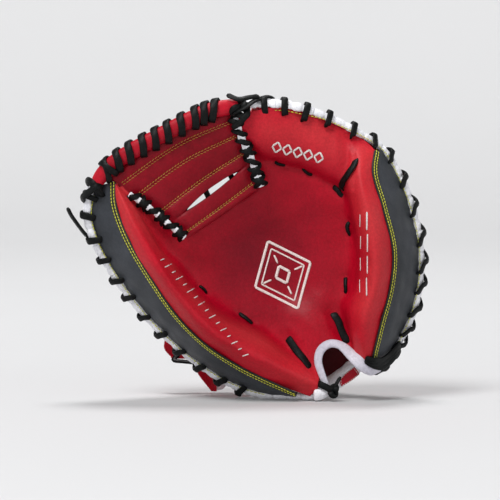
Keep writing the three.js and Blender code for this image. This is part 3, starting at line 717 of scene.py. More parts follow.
def palm_laces():
    """Short laces that tie the palm down to its padding, each dipping into a hole at both ends."""
    batch, bending = Batch(), Batch()
    for k, (start, end, width) in enumerate(PALM_LACES):
        run = [(*(np.array(start) + (np.array(end) - start) * share), lift) for share, lift in PALM_LACE_RUN]
        chosen = bending if start[0] < -10 else batch
        palm_lace(chosen, run, width, 1.7, k)
    place(batch.make("palm_laces", BLACK), "mitt", "black_rawhide", "palm_lace_middle", "palm_lace_upper",
          "index_lace_left", "index_lace_right", "heel_lace_left", "heel_lace_right")
    place(bending.make("palm_laces_thumb", BLACK), "bend", "black_rawhide", "palm_lace_thumb")
    tie = Batch()
    palm_lace(tie, INDEX_TIE, 5.2, 2.2, 31)
    place(tie.make("index_tie", BLACK), "mitt", "black_rawhide", "index_lace_top")


palm_laces()


# Side panels, seams, bindings and rim laces

RIM_COUNT = 400                 # points along a rim
RIM_REACH, RIM_DEPTH = 3.0, 4.4         # half the binding's size across and along the rim's thickness
PANEL_COLUMNS = 18
LOWEST_LACE = 1.4               # a lace's middle stays this high over the floor
MITT_MIDDLE = np.array([0, 0, 115.0])


def side_frames(stations, rim, shares):
    """At shares of a rim: its point, tangent, way out, way in along the panel and the panel's normal."""
    rim_points = even(rim, count=RIM_COUNT)
    along = unit(np.gradient(rim_points, axis=0))
    pick = (np.asarray(shares) * (RIM_COUNT - 1)).round().astype(int)
    point, tangent = rim_points[pick], along[pick]
    outward = unit(np.cross(tangent, BACK))
    outward *= np.sign((outward * (point - MITT_MIDDLE)).sum(axis=1, keepdims=True))
    fine = curve(stations[:, 1], np.linspace(0, 1, 200))
    inward = np.array([fine[np.argmin(np.linalg.norm(fine - p, axis=1))] - p for p in point])
    inward = unit(inward - tangent * (inward * tangent).sum(axis=1, keepdims=True))
    front = unit(np.cross(tangent, inward))
    front *= -np.sign(front[:, 1:2])
    return point, tangent, outward, inward, front


def panel(name, stations, span):
    """A side panel, between the rim and the seam, puffed between its edges and dented at the lace holes."""
    across = np.linspace(0.02, 1 / 3, PANEL_COLUMNS)
    along = np.linspace(*span, 150)
    grid = surface(stations, across, along)
    out = normals(grid)
    share = np.linspace(0, 1, PANEL_COLUMNS)[None, :]
    swell = 1.5 * np.sin(np.pi * share) ** 0.8 + 0.45 * waves(grid, 34, 21) + 0.2 * waves(grid, 12, 22)
    scallop = waves(grid, RIM_LACE_PITCH, 23) * np.clip(1 - share * 3, 0, 1)
    grid = grid + out * (swell + 0.5 * scallop)[..., None]
    return sheet(name, grid, LEATHER, CHARCOAL)


def seam_strip(stations):
    """The dark welt along a seam and its two rows of thread."""
    fine = even(stations[:, 1], 1.6)
    cross = curve(stations[:, 2] - stations[:, 0], np.linspace(0, 1, len(fine)))
    up = unit(np.cross(np.gradient(fine, axis=0), cross))
    up *= -np.sign(up[:, 1:2])
    sideways = unit(np.cross(np.gradient(fine, axis=0), up))
    welt = Batch()
    welt.add(sweep(fine + up * 0.5, up, 3.1, 0.95, sides=12, squareness=0.8))
    threads = Batch()
    for side in (-1.35, 1.35):
        stitch_row(threads, fine + sideways * side + up * 1.45, up, **SEAM_STITCH)
    return welt, threads


def rim_binding(frames, shares, wrap_count, sides=16):
    """The folded white strip over a rim, pinched about as often as laces cross it."""
    point, _, outward, inward, _ = frames
    turn = np.arange(sides) / sides * 2 * np.pi
    pinch = 1 - 0.2 * np.cos(shares * wrap_count * 2 * np.pi) ** 8
    rings = []
    for k in range(len(shares)):
        lean = unit(BACK - inward[k] * 0.55)
        section = np.outer(np.cos(turn) * RIM_REACH, outward[k]) + np.outer(np.sin(turn) * RIM_DEPTH, lean)
        rings.append(point[k] + section * pinch[k])
    rings = np.array(rings)
    radial = unit(rings - point[:, None])
    pucker = 0.2 * waves(rings * np.array([1, 0.4, 1]), 6.5, 5) + 0.25 * waves(rings, 14, 6)
    rings = rings + radial * pucker[..., None]
    rings[..., 2] = np.maximum(rings[..., 2], 0)
    return rings.reshape(-1, 3), tube_faces(len(shares), sides)


def wrap(batch, point, lean, stops, width, seed):
    """A lace wound over an edge. Stops are an offset from the point, the way up and a share of the lean."""
    points = [point + offset + lean * shift for offset, _, shift in stops]
    for p in points:
        p[2] = max(p[2], LOWEST_LACE)
    lace_bar(batch, points, np.array([up for _, up, _ in stops]), width, LACE_THICKNESS, seed=seed)


def rim_wrap(batch, frame_at, seed, slant):
    """One lace from a hole in the panel, over the binding and round to the back."""
    rng = np.random.default_rng(seed)
    point, tangent, outward, inward, front = frame_at
    slant = slant + rng.uniform(-0.8, 0.8)
    hole = 9.0 - 0.35 * slant + rng.uniform(-0.6, 0.8)
    clear = LACE_THICKNESS / 2 + 0.6
    reach, depth = RIM_REACH, RIM_DEPTH
    stops = [
        (inward * hole - front * 2.5, front, 1.0),
        (inward * (hole - 0.5) + front * (clear + 0.9), front, 0.8),
        (inward * (hole * 0.62) + front * (clear + 1.9), front, 0.45),
        (inward * 2.2 + front * (clear + depth * 0.72), unit(front + outward * 0.5), 0.1),
        (outward * (reach * 0.75 + clear) + front * (depth * 0.45), unit(outward + front * 0.4), -0.15),
        (outward * (reach + clear) + BACK * 1.0, outward, -0.4),
        (outward * reach * 0.5 + BACK * (depth + clear * 0.9), unit(BACK + outward * 0.6), -0.7),
        (-outward * 4 + BACK * (depth + clear + 1.4), BACK, -1.0),
        (-outward * 8 + BACK * (depth + clear + 0.2), BACK, -1.2),
        (-outward * 9.5 + BACK * (depth - 1.5), BACK, -1.3),
    ]
    wrap(batch, point, tangent * slant, stops, LACE_WIDTH + rng.uniform(-0.3, 0.7), seed)


def nearest_share(rim, x, z):
    """How far along a rim, 0 to 1, its nearest point to a place in the XZ plane lies."""
    fine = even(rim, count=RIM_COUNT)
    return float(np.argmin((fine[:, 0] - x) ** 2 + (fine[:, 2] - z) ** 2)) / (RIM_COUNT - 1)


def thumb_slant(share):
    """How far a thumb lace leans: more towards the heel."""
    return 1.5 + 3.6 * share


def finger_slant(share):
    """How far a finger lace leans: little along the top, much down the side."""
    return 0.8 + 9.0 * min(1, max(0, share - 0.28) * 3)


def build_side(side, stations, rim, body, panel_span, wraps, slant, thread_span):
    """A side's panel, seam, binding, binding thread and rim laces."""
    place(panel(f"{side}_panel_sheet", stations, panel_span), body, "charcoal_leather", f"{side}_side_panel")
    welt, threads = seam_strip(stations)
    place(welt.make(f"{side}_seam_welt", WELT), body, "charcoal_leather")
    place(threads.make(f"{side}_seam_thread", YELLOW), body, "charcoal_leather")
    shares = np.linspace(0, 1, 420)
    binding = rim_binding(side_frames(stations, rim, shares), shares, len(wraps))
    place(single(f"{side}_rim_strip", WHITE, binding), body, "white_leather", f"{side}_binding")
    laces = Batch()
    for k, (x, z) in enumerate(wraps):
        share = nearest_share(rim, x, z)
        frame_at = [values[0] for values in side_frames(stations, rim, [share])]
        rim_wrap(laces, frame_at, 100 + k, slant(share))
    place(laces.make(f"{side}_rim_wraps", BLACK), body, "black_rawhide", f"{side}_rim_lace")
    edge = Batch()
    point, _, _, inward, front = side_frames(stations, rim, np.linspace(*thread_span, 260))
    stitch_row(edge, point + inward * 5.2 + front * 1.9, front, **RIM_STITCH)
    place(edge.make(f"{side}_rim_thread", YELLOW), body, "white_leather")


# Where the rim's laces lie: X, Z
THUMB_WRAPS = [(-132, 161), (-134, 146), (-129, 127), (-122, 111), (-112, 95), (-102, 82), (-90, 66),
               (-77, 52), (-62, 39), (-46, 26), (-29, 16), (-13, 9)]
FINGER_WRAPS = [(5, 232), (21, 232), (38, 228), (55, 222), (74, 213), (89, 204), (102, 192), (113, 174),
                (121, 153), (127, 130), (128, 109), (127, 91), (123, 73), (118, 57), (111, 45), (105, 36),
                (97, 27)]
build_side("thumb", THUMB_STATIONS, THUMB_RIM, "thumb", (0.005, 0.985), THUMB_WRAPS, thumb_slant,
           (0.02, 0.86))
build_side("finger", FINGER_STATIONS, FINGER_RIM, "mitt", (0, 1), FINGER_WRAPS, finger_slant, (0.05, 0.99))


# Padding and lining: the body under the leather

CORE_BACK = 12.0                # depth of the padding's back
NET_CELL_WIDTH, NET_CELL_HEIGHT = 30, 28        # usual size of the control net's cells
FELT_GAP, CORE_GAP = 5.4, 4.2           # how deep the padding's front lies under the leather's face
PALM_FELT_DEPTH = 7.0


def net_share(span, cells, cell_size, step):
    """Shares, 0 to 1, of the control net's whole length over a span of its cells."""
    return np.linspace(span[0] / cells, span[1] / cells, int((span[1] - span[0]) * cell_size / step))


def inner_grid(column_span, row_span, depth, step=4.0):
    """Part of the palm's surface, set back behind its leather."""
    across = net_share(column_span, NET_COLUMNS, NET_CELL_WIDTH, step)
    along = net_share(row_span, NET_ROWS, NET_CELL_HEIGHT, step)
    inside = PALM - PALM_OUT * depth
    picks = [(v * (n - 1)).round().astype(int) for v, n in zip((along, across), PALM.shape)]
    return inside[np.ix_(*picks)]


def felt(name, front, back, node):
    """A padded body between its front and its back."""
    made = single(name, FELT, body_between(front, back))
    place(made, "bend", "felt_padding", node)


def side_felt(name, column_span, row_span, thinning, node):
    """A side's felt, between the palm and a flat back that comes forward by the thinning at its tip."""
    front = inner_grid(column_span, row_span, FELT_GAP)
    back = front.copy()
    share = np.linspace(0, 1, len(front))[:, None]
    flat = CORE_BACK - thinning * np.clip((share - 0.55) / 0.45, 0, 1) ** 1.6
    back[..., 1] = np.maximum(flat + 0.4 * waves(front, 30, 41), front[..., 1] + 2.0)
    felt(name, front, back, node)


def padding():
    side_felt("thumb_felt", (0.25, 2.8), (0.9, 8.2), 22, "thumb_pad_core")
    side_felt("finger_felt", (7.2, 9.7), (0.6, 6.7), 0, "finger_pad_core")
    front = inner_grid((3.25, 6.75), (0.9, 6.0), CORE_GAP)
    back = front + BACK * PALM_FELT_DEPTH + waves(front, 24, 51)[..., None] * [0, 0.3, 0]
    felt("palm_felt", front, back, "palm_pad_core")
    lining = inner_grid((2.7, 7.3), (0.9, 6.0), CORE_GAP, 2.2) + BACK * (PALM_FELT_DEPTH + 1)
    lining = lining + waves(lining, 14, 52)[..., None] * [0, 0.35, 0]
    made = sheet("palm_lining_sheet", lining, 1.2, LINING, front=BACK, edge=0.3)
    place(made, "bend", "lining", "palm_lining")


padding()


# Web: ribbed sheet with a slot, stitched in double rows

WEB_LINES = (0.1, 0.505, 0.73, 0.885)     # where the double rows of thread run, lower edge 0 and top 1
SLOT_AT = 0.34
SLOT_HALF = 0.036               # the slot's greatest half height, as a share of the web
RIB_RISE = 2.3
RIB_EDGES = np.array([0.0, 0.1, 0.34, 0.505, 0.73, 0.885, 1.0])
WEB_FINE = patch(WEB_ROWS, 201, 201)
BAR_PLACES = (-107.8, -98.9, -88.6, -78.4, -68.9, -58.1, -48.1, -40.6, -33)     # along X
ROLL_COUNT = 120                # points along the top roll
ROLL_BAR_DEPTH = 4.6            # how far a bar's middle lies in front of the roll's
CROSSED_BARS = -117             # along X, where two bars cross at the roll's thumb end
SLOT_TIES = ((-38, 163.5), (-19, 177.5))        # X, Z


def sample(fine, across, along):
    """Points of a fine grid at any across and along values, 0 to 1, blended from its nearest four."""
    a, b = (np.clip(v, 0, 1) * (n - 1) for v, n in ((along, fine.shape[0]), (across, fine.shape[1])))
    i, j = (np.minimum(v.astype(int), n - 2) for v, n in ((a, fine.shape[0]), (b, fine.shape[1])))
    u, w = (a - i)[..., None], (b - j)[..., None]
    return ((fine[i, j] * (1 - w) + fine[i, j + 1] * w) * (1 - u)
            + (fine[i + 1, j] * (1 - w) + fine[i + 1, j + 1] * w) * u)


def rib_height(across, along):
    """How far the web puffs out between its seams."""
    k = np.clip(np.searchsorted(RIB_EDGES, along, side="right") - 1, 0, len(RIB_EDGES) - 2)
    rib = RIB_EDGES[k + 1] - RIB_EDGES[k]
    share = (along - RIB_EDGES[k]) / rib
    full = RIB_RISE * np.sqrt(np.sin(np.pi * np.clip(share, 0, 1)) + 1e-6) * np.minimum(1, rib * 7)
    return full * np.clip(np.sin(np.pi * np.clip(across, 0.02, 0.98)) * 3, 0, 1)


def web_swell(points):
    """The web's own unevenness, apart from its ribs."""
    return 0.3 * waves(points, 16, 61) + 0.5 * waves(points, 40, 62)


def slot_half(across):
    """Half the slot's height at a place across, as a share of the web."""
    t = np.clip((across - 0.17) / 0.69, 0, 1)
    return SLOT_HALF * np.sqrt(np.sin(np.pi * t) + 1e-9) * (t > 0) * (t < 1)


def web_halves(setback, puff, margin):
    """The web below and above its slot, as two grids whose edges meet beyond the slot's ends."""
    across = np.linspace(margin, 1 - margin, 76)
    halves = []
    for low, count in ((True, 22), (False, 44)):
        u, v = np.meshgrid(across, np.linspace(0, 1, count))
        half = slot_half(u)
        along = v * (SLOT_AT - half) if low else SLOT_AT + half + v * (1 - SLOT_AT - half)
        grid = sample(WEB_FINE, u, along)
        grid[..., 1] += setback - (rib_height(u, along) * puff + web_swell(grid))
        halves.append(grid)
    return halves


def web_sheet(name, setback, puff, thickness, margin, node):
    """One layer of the web: both halves joined beyond the slot's ends."""
    lower, upper = web_halves(setback, puff, margin)
    points = np.concatenate([lower.reshape(-1, 3), upper.reshape(-1, 3)])
    faces = grid_faces(*lower.shape[:2]) + grid_faces(*upper.shape[:2], start=lower.shape[0] * lower.shape[1])
    # Made in the darkened red, which paints shade onto the web.
    made = make_object(name, points, faces, WEB_RED_PAINTED_SHADE)
    rework(made, 0.08, to_front=True)
    thicken(made, thickness, 0.7)
    place(made, "bend", "red_leather", node)


def web_threads():
    """Double rows of ochre stitches along the web's seams."""
    batch = Batch()
    across = np.linspace(0.03, 0.97, 90)
    for along in WEB_LINES:
        for side in (-0.011, 0.011):
            row = np.full(90, along + side)
            line = sample(WEB_FINE, across, row)
            line[:, 1] -= rib_height(across, row) + web_swell(line) + 0.15
            slant = 0.28 if side > 0 else -0.28
            stitch_row(batch, line, FRONT, **WEB_STITCH, slant=slant)
    place(batch.make("web_threads", OCHRE), "bend", "red_leather")


web_sheet("web_front", 0.0, 1.0, 2.4, 0.0, "web_panel")
web_sheet("web_back", 5.0, -0.7, 1.8, 0.03, "web_back_panel")
web_threads()


def line_frames(points, count):
    """Points along a seam with their tangent and their sideways direction in the XZ plane."""
    line = even(points, count=count)
    along = unit(np.gradient(line, axis=0))
    return line, along, unit(np.cross(along, FRONT))


def roll_size(shares):
    """The top roll narrows towards both its ends."""
    return 1 - 0.35 * np.exp(-shares / 0.05) - 0.2 * np.exp((shares - 1) / 0.05)


def bar_over(batch, point, along, outward, reach, drop, width, slant, seed):
    """One lace bar: out of the leather, up over the web's roll and down behind it."""
    clear = LACE_THICKNESS / 2 + 0.5
    depth = ROLL_BAR_DEPTH
    stops = [
        (-outward * drop - FRONT * 2.0, FRONT, 1.0),
        (-outward * (drop - 1.0) + FRONT * (depth * 0.55 + clear), FRONT, 0.9),
        (-outward * (drop * 0.45) + FRONT * (depth + clear * 0.9), FRONT, 0.5),
        (outward * reach * 0.2 + FRONT * (depth + clear), FRONT, 0.1),
        (outward * (reach * 0.85 + clear * 0.8) + FRONT * depth * 0.62, unit(outward + FRONT * 0.7), -0.2),
        (outward * (reach + clear), outward, -0.5),
        (outward * reach * 0.8 - FRONT * (depth * 0.75 + clear * 0.7), unit(outward - FRONT), -0.7),
        (-outward * 1.0 - FRONT * (depth + clear), -FRONT, -0.9),
        (-outward * drop * 0.8 - FRONT * (depth + clear * 0.6), -FRONT, -1.0),
    ]
    wrap(batch, point, along * slant, stops, width, seed)


def web_top():
    """The red roll along the web's top edge and the lace bars over it."""
    line, along, side = line_frames(WEB_ROLL, ROLL_COUNT)
    shares = np.linspace(0, 1, ROLL_COUNT)
    bars = np.interp(BAR_PLACES, line[:, 0], shares)
    outward = side * np.sign(side[:, 2:3])
    pinch = 1 - 0.1 * np.exp(-((shares[:, None] - bars) / 0.016) ** 2).sum(axis=1)
    half_width = 6.6 * pinch * roll_size(shares)
    roll = sweep(line, FRONT, half_width, 4.4 * pinch, sides=22, squareness=0.95, taper=0.7)
    place(single("web_roll", RED, roll), "bend", "red_leather", "web_top_roll")
    laces = Batch()
    for k, share in enumerate(bars):
        at = int(round(share * (ROLL_COUNT - 1)))
        bar_over(laces, line[at], along[at], outward[at], 6.6, 8.6, 6.0, -4.6, 200 + k)
    first = int(np.argmin(np.abs(line[:, 0] - CROSSED_BARS)))
    for k, lean in enumerate((-7.0, 2.0)):
        place_at = line[first] + FRONT * 1.4 * k
        bar_over(laces, place_at, along[first], outward[first], 6.2, 8.5, 5.0, lean, 230 + k)
    place(laces.make("web_top_bars", BLACK), "bend", "black_rawhide", "web_top_lace")


web_top()


# A tie over a side strip: share of its half reach across, height over the strip, share of its slant
SIDE_TIE = ((-1, -3.5, 1.9), (-0.86, -0.5, 1.3), (-0.4, 1.75, 0.6), (0, 2.3, 0), (0.4, 1.75, -0.6),
            (0.86, -0.5, -1.3), (1, -3.5, -1.9))
SIDE_TIE_SLANT = 2.3


def web_side(side_name, seam, body, strip_width, lace_width, crossings, crossed):
    """A white strip along one side of the web, tied down by slanting laces, some of them crossed."""
    line, along, side = line_frames(seam, 90)
    line = line + FRONT * 3
    pinch = 1 + 0.14 * np.cos(np.linspace(0, 1, 90) * crossings * 2 * np.pi)
    strip = sweep(line, FRONT, strip_width / 2 * pinch, 1.5 * pinch, sides=14, squareness=0.9)
    made = single(f"web_{side_name}_side_strip", WHITE, strip)
    place(made, body, "white_leather", f"web_{side_name}_binding")
    laces = Batch()
    for k in range(crossings):
        at = int((k + 0.5) / crossings * 89)
        for turn in ((1, -1) if k in crossed else (1,)):
            across = side[at] * turn * strip_width * 0.78
            slanted = along[at] * SIDE_TIE_SLANT
            points = [line[at] + across * s + slanted * t + FRONT * h for s, h, t in SIDE_TIE]
            points[len(points) // 2] += FRONT * 0.3 * turn
            lace_bar(laces, points, FRONT, lace_width, 1.7, seed=300 + k, spacing=1.1)
    place(laces.make(f"web_{side_name}_side_ties", BLACK), body, "black_rawhide", f"web_{side_name}_lace")


web_side("thumb", WEB_THUMB_SEAM, "bend", 4.6, 4.8, 6, (1, 3, 5))
web_side("finger", WEB_FINGER_SEAM, "mitt", 5.4, 4.4, 7, (3, 5, 6))


def slot_ties():
    """Laces seen across the slot."""
    batch = Batch()
    for k, (x, z) in enumerate(SLOT_TIES):
        points = [[x - 6, -2.5, z + 8], [x - 4, -1, z + 4], [x - 2.5, 0.5, z], [x - 0.5, -0.5, z - 4],
                  [x + 1.5, -2, z - 7]]
        lace_bar(batch, points, FRONT, 4.6, 1.8, seed=350 + k)
    place(batch.make("slot_ties", BLACK), "mitt", "black_rawhide", "web_slot_lace")


slot_ties()


def knot(batch, centre, size, facing, roll, width):
    """An overhand knot of lace: a trefoil pressed flat towards its facing direction."""
    t = np.linspace(0.25, 2 * np.pi - 0.25, 60)
    flat = np.stack([np.sin(t) + 2 * np.sin(2 * t), np.cos(t) - 2 * np.cos(2 * t)], axis=1) / 3
    c, s = math.cos(roll), math.sin(roll)
    flat = flat @ np.array([[c, -s], [s, c]])
    facing = unit(np.array(facing, float))
    right = unit(np.cross(facing, [0.05, 0.1, 1.0]))
    upward = np.cross(right, facing)
    path = (np.array(centre) + flat[:, :1] * size * right + flat[:, 1:] * size * upward
            - np.sin(3 * t)[:, None] * facing * width * 0.42)
    batch.add(sweep(path, facing, width / 2, 0.95, sides=10))


# Heel: binding round the notch, knot, tag and the wrist's roll

HEEL_BAND = [[54, -13, 12], [50, -13.5, 22], [47.5, -12.5, 32], [50, -12, 40.5], [57, -12, 45],
             [65, -13, 43.5], [73, -16, 37], [80, -20, 31], [88, -17, 26], [97, -8, 25.5]]
HEEL_BAND_UP = np.array([[-0.3, -1, 0.1], [-0.2, -1, 0.3], [0, -1, 0.5], [0.1, -1, 0.5], [0.2, -1, 0.1],
                         [0.3, -1, -0.2]])
# Laces: points, the way up, width, thickness and seed
HEEL_LACES = (
    ([[58, -15, 9], [60.5, -17, 12], [62.8, -16.5, 15.5], [65, -15, 19]], (-0.5, -0.8, 0.5), 3.0, 1.6, 1),
    ([[46.5, -10, 14], [49, -17, 13.4], [54, -18, 11], [58, -17, 8.5], [60.5, -12, 6.5]], FRONT, 5.4, 2.0, 2),
)
HEEL_ROLL_END = [[57, -10, 10.5], [53, -11.5, 7.6], [48.5, -13, 5.4], [44, -14, 4.9]]
TAG_ROWS = [[[66.5, 8, 9.4], [73.5, 7.4, 13.4], [81, 8, 19.2]],
            [[65.5, 8.4, 11.8], [72, 8, 16.5], [79, 8.4, 22]],
            [[65.5, 9, 15], [70.5, 9, 20.5], [76.5, 9, 25]]]
WRIST_LINE = [[-3, 22, 6], [18, 21, 4.6], [38, 20, 5.2], [50, 18, 7], [62, 15, 13], [72.5, 14, 21],
              [84, 15, 29.5]]
HEEL_LINING_ROWS = [[[47, 24, 11], [60, 23, 15], [82, 22, 31]], [[44, 20, 30], [60, 20, 34], [80, 19, 38]],
                    [[42, 8, 50], [58, 6, 56], [78, 6, 54]]]


def heel_band():
    """The white binding round the notch, wider where it goes under the finger side's bunch of laces."""
    line = even(HEEL_BAND, 1.2)
    shares = np.linspace(0, 1, len(line))
    half = 2.6 + 0.8 * np.clip(shares / 0.3, 0, 1) + 2.2 * np.clip((shares - 0.5) / 0.25, 0, 1)
    half -= 2.6 * np.clip((shares - 0.88) / 0.12, 0, 1)
    up = curve(HEEL_BAND_UP, shares)
    band = sweep(line + 0.25 * waves(line, 9, 71)[:, None] * up, up, half, 1.7, sides=16, squareness=0.8)
    # Coloured with the darkened white leather: painted shade.
    place(single("heel_band", PEARL_PAINTED_SHADE, band), "bend", "white_leather", "heel_binding")


def heel_ties():
    """The knot at the heel and the white roll's end that it holds."""
    ties = Batch()
    knot(ties, (58.6, -16, 8.2), 4.3, (-0.1, -1, 0.1), 0.4, 4.4)
    for row in HEEL_LACES:
        lace_bar(ties, *row)
    place(ties.make("heel_knot", BLACK), "bend", "black_rawhide", "heel_lace_knot")
    points, faces = sweep(even(HEEL_ROLL_END, 1.2), FRONT, 4.9, 4.5, sides=18, squareness=0.95, taper=0.78)
    points = points + 0.3 * waves(points, 6, 73)[:, None] * [1, 1, 0]
    points[:, 2] = np.maximum(points[:, 2], 0.05)
    place(single("heel_roll_end", WHITE, (points, faces)), "bend", "white_leather")


def tag():
    """The small red tag, sewn on round its edge."""
    front = patch(TAG_ROWS, 18, 16)
    place(sheet("wrist_tag", front, 1.2, RED, edge=0.4), "mitt", "red_leather", "heel_tag")
    threads = Batch()
    ring = np.concatenate([front[1, 1:-1], front[1:-1, -2], front[-2, -2:0:-1], front[-2:1:-1, 1]])
    stitch_row(threads, ring, FRONT, **TAG_STITCH)
    place(threads.make("tag_thread", SILVER), "mitt", "red_leather")


def wrist_roll():
    """The padded white roll that edges the wrist opening and carries the mitt."""
    line = even(WRIST_LINE, 1.5)
    half = 4.6 + 1.9 * np.clip((line[:, 0] - 40) / 12, 0, 1)
    sides = 24
    points, faces = sweep(line, FRONT, half, 5.0, sides=sides, squareness=1.0, taper=0.75)
    points = points + 0.3 * waves(points, 10, 75)[:, None] * unit(points - np.repeat(line, sides, axis=0))
    points[:, 2] = np.maximum(points[:, 2], 0.0)
    made = single("wrist_padding", FLEECE, (points, faces))
    place(made, "mitt", "white_fleece", "wrist_roll")
    # A sheet inside the heel's opening, dark red as painted shade where the mitt's inside lies in shadow.
    inner = patch(HEEL_LINING_ROWS, 40, 40)
    inner = inner + waves(inner, 13, 76)[..., None] * [0, 0.6, 0]
    place(sheet("heel_inside_painted_shade", inner, 1.6, SHADE_RED, edge=0.5), "mitt", "red_leather")


heel_band()
heel_ties()
tag()
wrist_roll()


# Back: leather over the hand, and sleeves

THUMB_BACK_EDGE = [[-113, -3, 165], [-99, 7, 152], [-88, 20, 139], [-76, 33, 124], [-58, 44, 106],
                   [-40, 51, 86], [-24, 54, 62], [-12, 50, 36], [4, 34, 18], [20, 20, 10]]
FINGER_BACK_EDGE = [[-8, 0, 221], [-3, 18, 206], [1, 34, 190], [4, 44, 173], [8, 49, 155], [14, 52, 137],
                    [22, 54, 121], [34, 56, 108], [48, 56, 94], [60, 55, 78], [70, 51, 58], [76, 44, 38]]
FINGER_BACK_RIM = [[-4, -11, 229], [17, -9, 228], [39, -7, 224], [72, -1, 211], [95, 5, 196], [109, 8, 175],
                   [119, 11, 149], [125, 13, 119], [124, 14, 88], [117, 13, 62], [106, 12, 42], [94, 11, 28]]
RIDGE_HEIGHT, GROOVE_DEPTH = 3.4, 1.6           # of the back leather over and between the fingers
# Sleeves: mouth, tip, half width, half depth
SLEEVES = {
    "index": ([8, 36, 128], [25, 26, 182], 10, 9), "middle": ([29, 37, 118], [52, 27, 172], 11, 9),
    "ring": ([47, 38, 103], [78, 29, 146], 11, 9), "little": ([61, 38, 84], [92, 30, 111], 10, 9),
    "thumb": ([-37, 33, 68], [-78, 22, 112], 12, 10),
}
TIP_START = 0.68                # how far along a sleeve its tip begins to close


def thumb_back_rim(share):
    """The thumb shell's edge, at a share of the way from the rim to the seam, at the rim's depth."""
    rim, seam = THUMB_STATIONS[:, 0], THUMB_STATIONS[:, 1]
    return rim + (seam - rim) * share * np.array([1, 0, 1])


def back_grid(rim, edge, span, across_count, along_count, power, step_back=2.5, inset=0.0):
    """A back shell's inner face, from the rim, across 0, to the edge of the hand opening, across 1."""
    along = np.linspace(0, span, along_count)
    outer, inner = curve(rim, along)[:, None], curve(edge, along)[:, None]
    across = np.linspace(0, 1, across_count)[None, :, None]
    rise = np.sin(across * np.pi / 2) ** power
    grid = outer + (inner - outer) * (inset + (1 - inset) * across)
    grid[..., 1:2] = outer[..., 1:2] + step_back + (inner[..., 1:2] - outer[..., 1:2] - step_back) * rise
    return grid


def finger_ridges(points, fingers, reach=9.0):
    """1 over a finger's line, falling to 0 between the fingers."""
    total = np.zeros(points.shape[:-1])
    for mouth, tip, _, _ in fingers:
        a, b = np.array([mouth[0], mouth[2]], float), np.array([tip[0], tip[2]], float)
        b = b + (b - a) * 0.9
        p = points[..., (0, 2)]
        t = np.clip(((p - a) @ (b - a)) / ((b - a) @ (b - a)), 0, 1)[..., None]
        total = np.maximum(total, np.exp(-(np.linalg.norm(p - a - t * (b - a), axis=-1) / reach) ** 2))
    return total


def back_shell(side, grid, fingers, body, seed):
    """A side's back leather with a row of thread along both its edges, and a binding at the hand opening."""
    ridge = finger_ridges(grid, fingers)
    columns = grid.shape[1]
    edge = np.minimum(1, np.linspace(0, 1, columns) * 4) * np.minimum(1, np.linspace(1, 0, columns) * 6)
    out = normals(grid, BACK)
    swell = RIDGE_HEIGHT * ridge - GROOVE_DEPTH + 0.6 * waves(grid, 26, seed)
    outer = grid + out * (LEATHER - 0.3 + swell * edge[None])[..., None]
    made = sheet(f"{side}_back_leather", outer, LEATHER - 0.6, RED, front=BACK)
    place(made, body, "red_leather", f"{side}_back_shell")
    threads = Batch()
    for column in (2, columns - 3):
        line, up = outer[3:-3, column], out[3:-3, column]
        stitch_row(threads, line + up * 0.15, up, **BACK_STITCH)
    place(threads.make(f"{side}_back_leather_thread", YELLOW), body, "red_leather")
    path = even(outer[:, -1][::3] - np.array([0, 1.2, 0]), 2.0)
    binding = sweep(path + 0.3 * waves(path, 8, 97)[:, None], (0.2, 1, 0), 2.6, 2.2, sides=12, squareness=0.9)
    place(single(f"{side}_opening_edge", CHARCOAL, binding), body, "charcoal_leather")
    return outer, out


def backs():
    """Both back shells, and the stitched grooves between the fingers."""
    fingers = [SLEEVES[name] for name in ("index", "middle", "ring", "little")]
    thumb = back_grid(thumb_back_rim(0.1), THUMB_BACK_EDGE, 0.85, 40, 110, 0.62)
    back_shell("thumb", thumb, [SLEEVES["thumb"]], "thumb", 81)
    finger = back_grid(FINGER_BACK_RIM, FINGER_BACK_EDGE, 1.0, 44, 150, 0.52)
    outer, out = back_shell("finger", finger, fingers, "mitt", 82)
    grooves = Batch()
    for a, b in zip(fingers, fingers[1:]):
        start = (np.array(a[0]) + np.array(b[0])) / 2
        end = (np.array(a[1]) + np.array(b[1])) / 2
        end = end + (end - start) * 0.35
        groove = [start + (end - start) * share for share in np.linspace(0.25, 1, 40)]
        line, ups = laid_line(outer, out, groove, 0.2)
        stitch_row(grooves, line, ups, **STRAP_STITCH)
    place(grooves.make("finger_groove_thread", YELLOW), "mitt", "red_leather")


def sleeves():
    """The open leather sleeves for the thumb and fingers, softly creased."""
    for name, (mouth, tip, half_width, half_depth) in SLEEVES.items():
        mouth, tip = np.array(mouth, float), np.array(tip, float)
        axis = unit(tip - mouth)
        right = unit(np.cross(BACK, axis))
        deep = np.cross(axis, right)
        share = np.linspace(0, 1, 34)[:, None]
        turn = np.linspace(0, 2 * np.pi, 41)[None, :]
        size = np.sqrt(1.0004 - np.clip((share - TIP_START) / (1 - TIP_START), 0, 1) ** 2.4)
        middle = mouth + axis * (share * np.linalg.norm(tip - mouth))[..., None]
        grid = (middle + right * (half_width * size * np.cos(turn))[..., None]
                + deep * (half_depth * size * np.sin(turn))[..., None])
        grid = grid + unit(grid - middle) * (0.35 * waves(grid * [1, 1, 1.5], 8, 91))[..., None]
        grid[:, -1] = grid[:, 0]
        made = make_object(f"{name}_sleeve", grid.reshape(-1, 3), grid_faces(*grid.shape[:2]), LINING)
        thicken(made, 1.3, 0, offset=0)
        rework(made, 0.05, outwards=False)
        place(made, "thumb" if name == "thumb" else "mitt", "lining", f"{name}_stall")


backs()
sleeves()


# Strap: leather, its closure, tail and ends

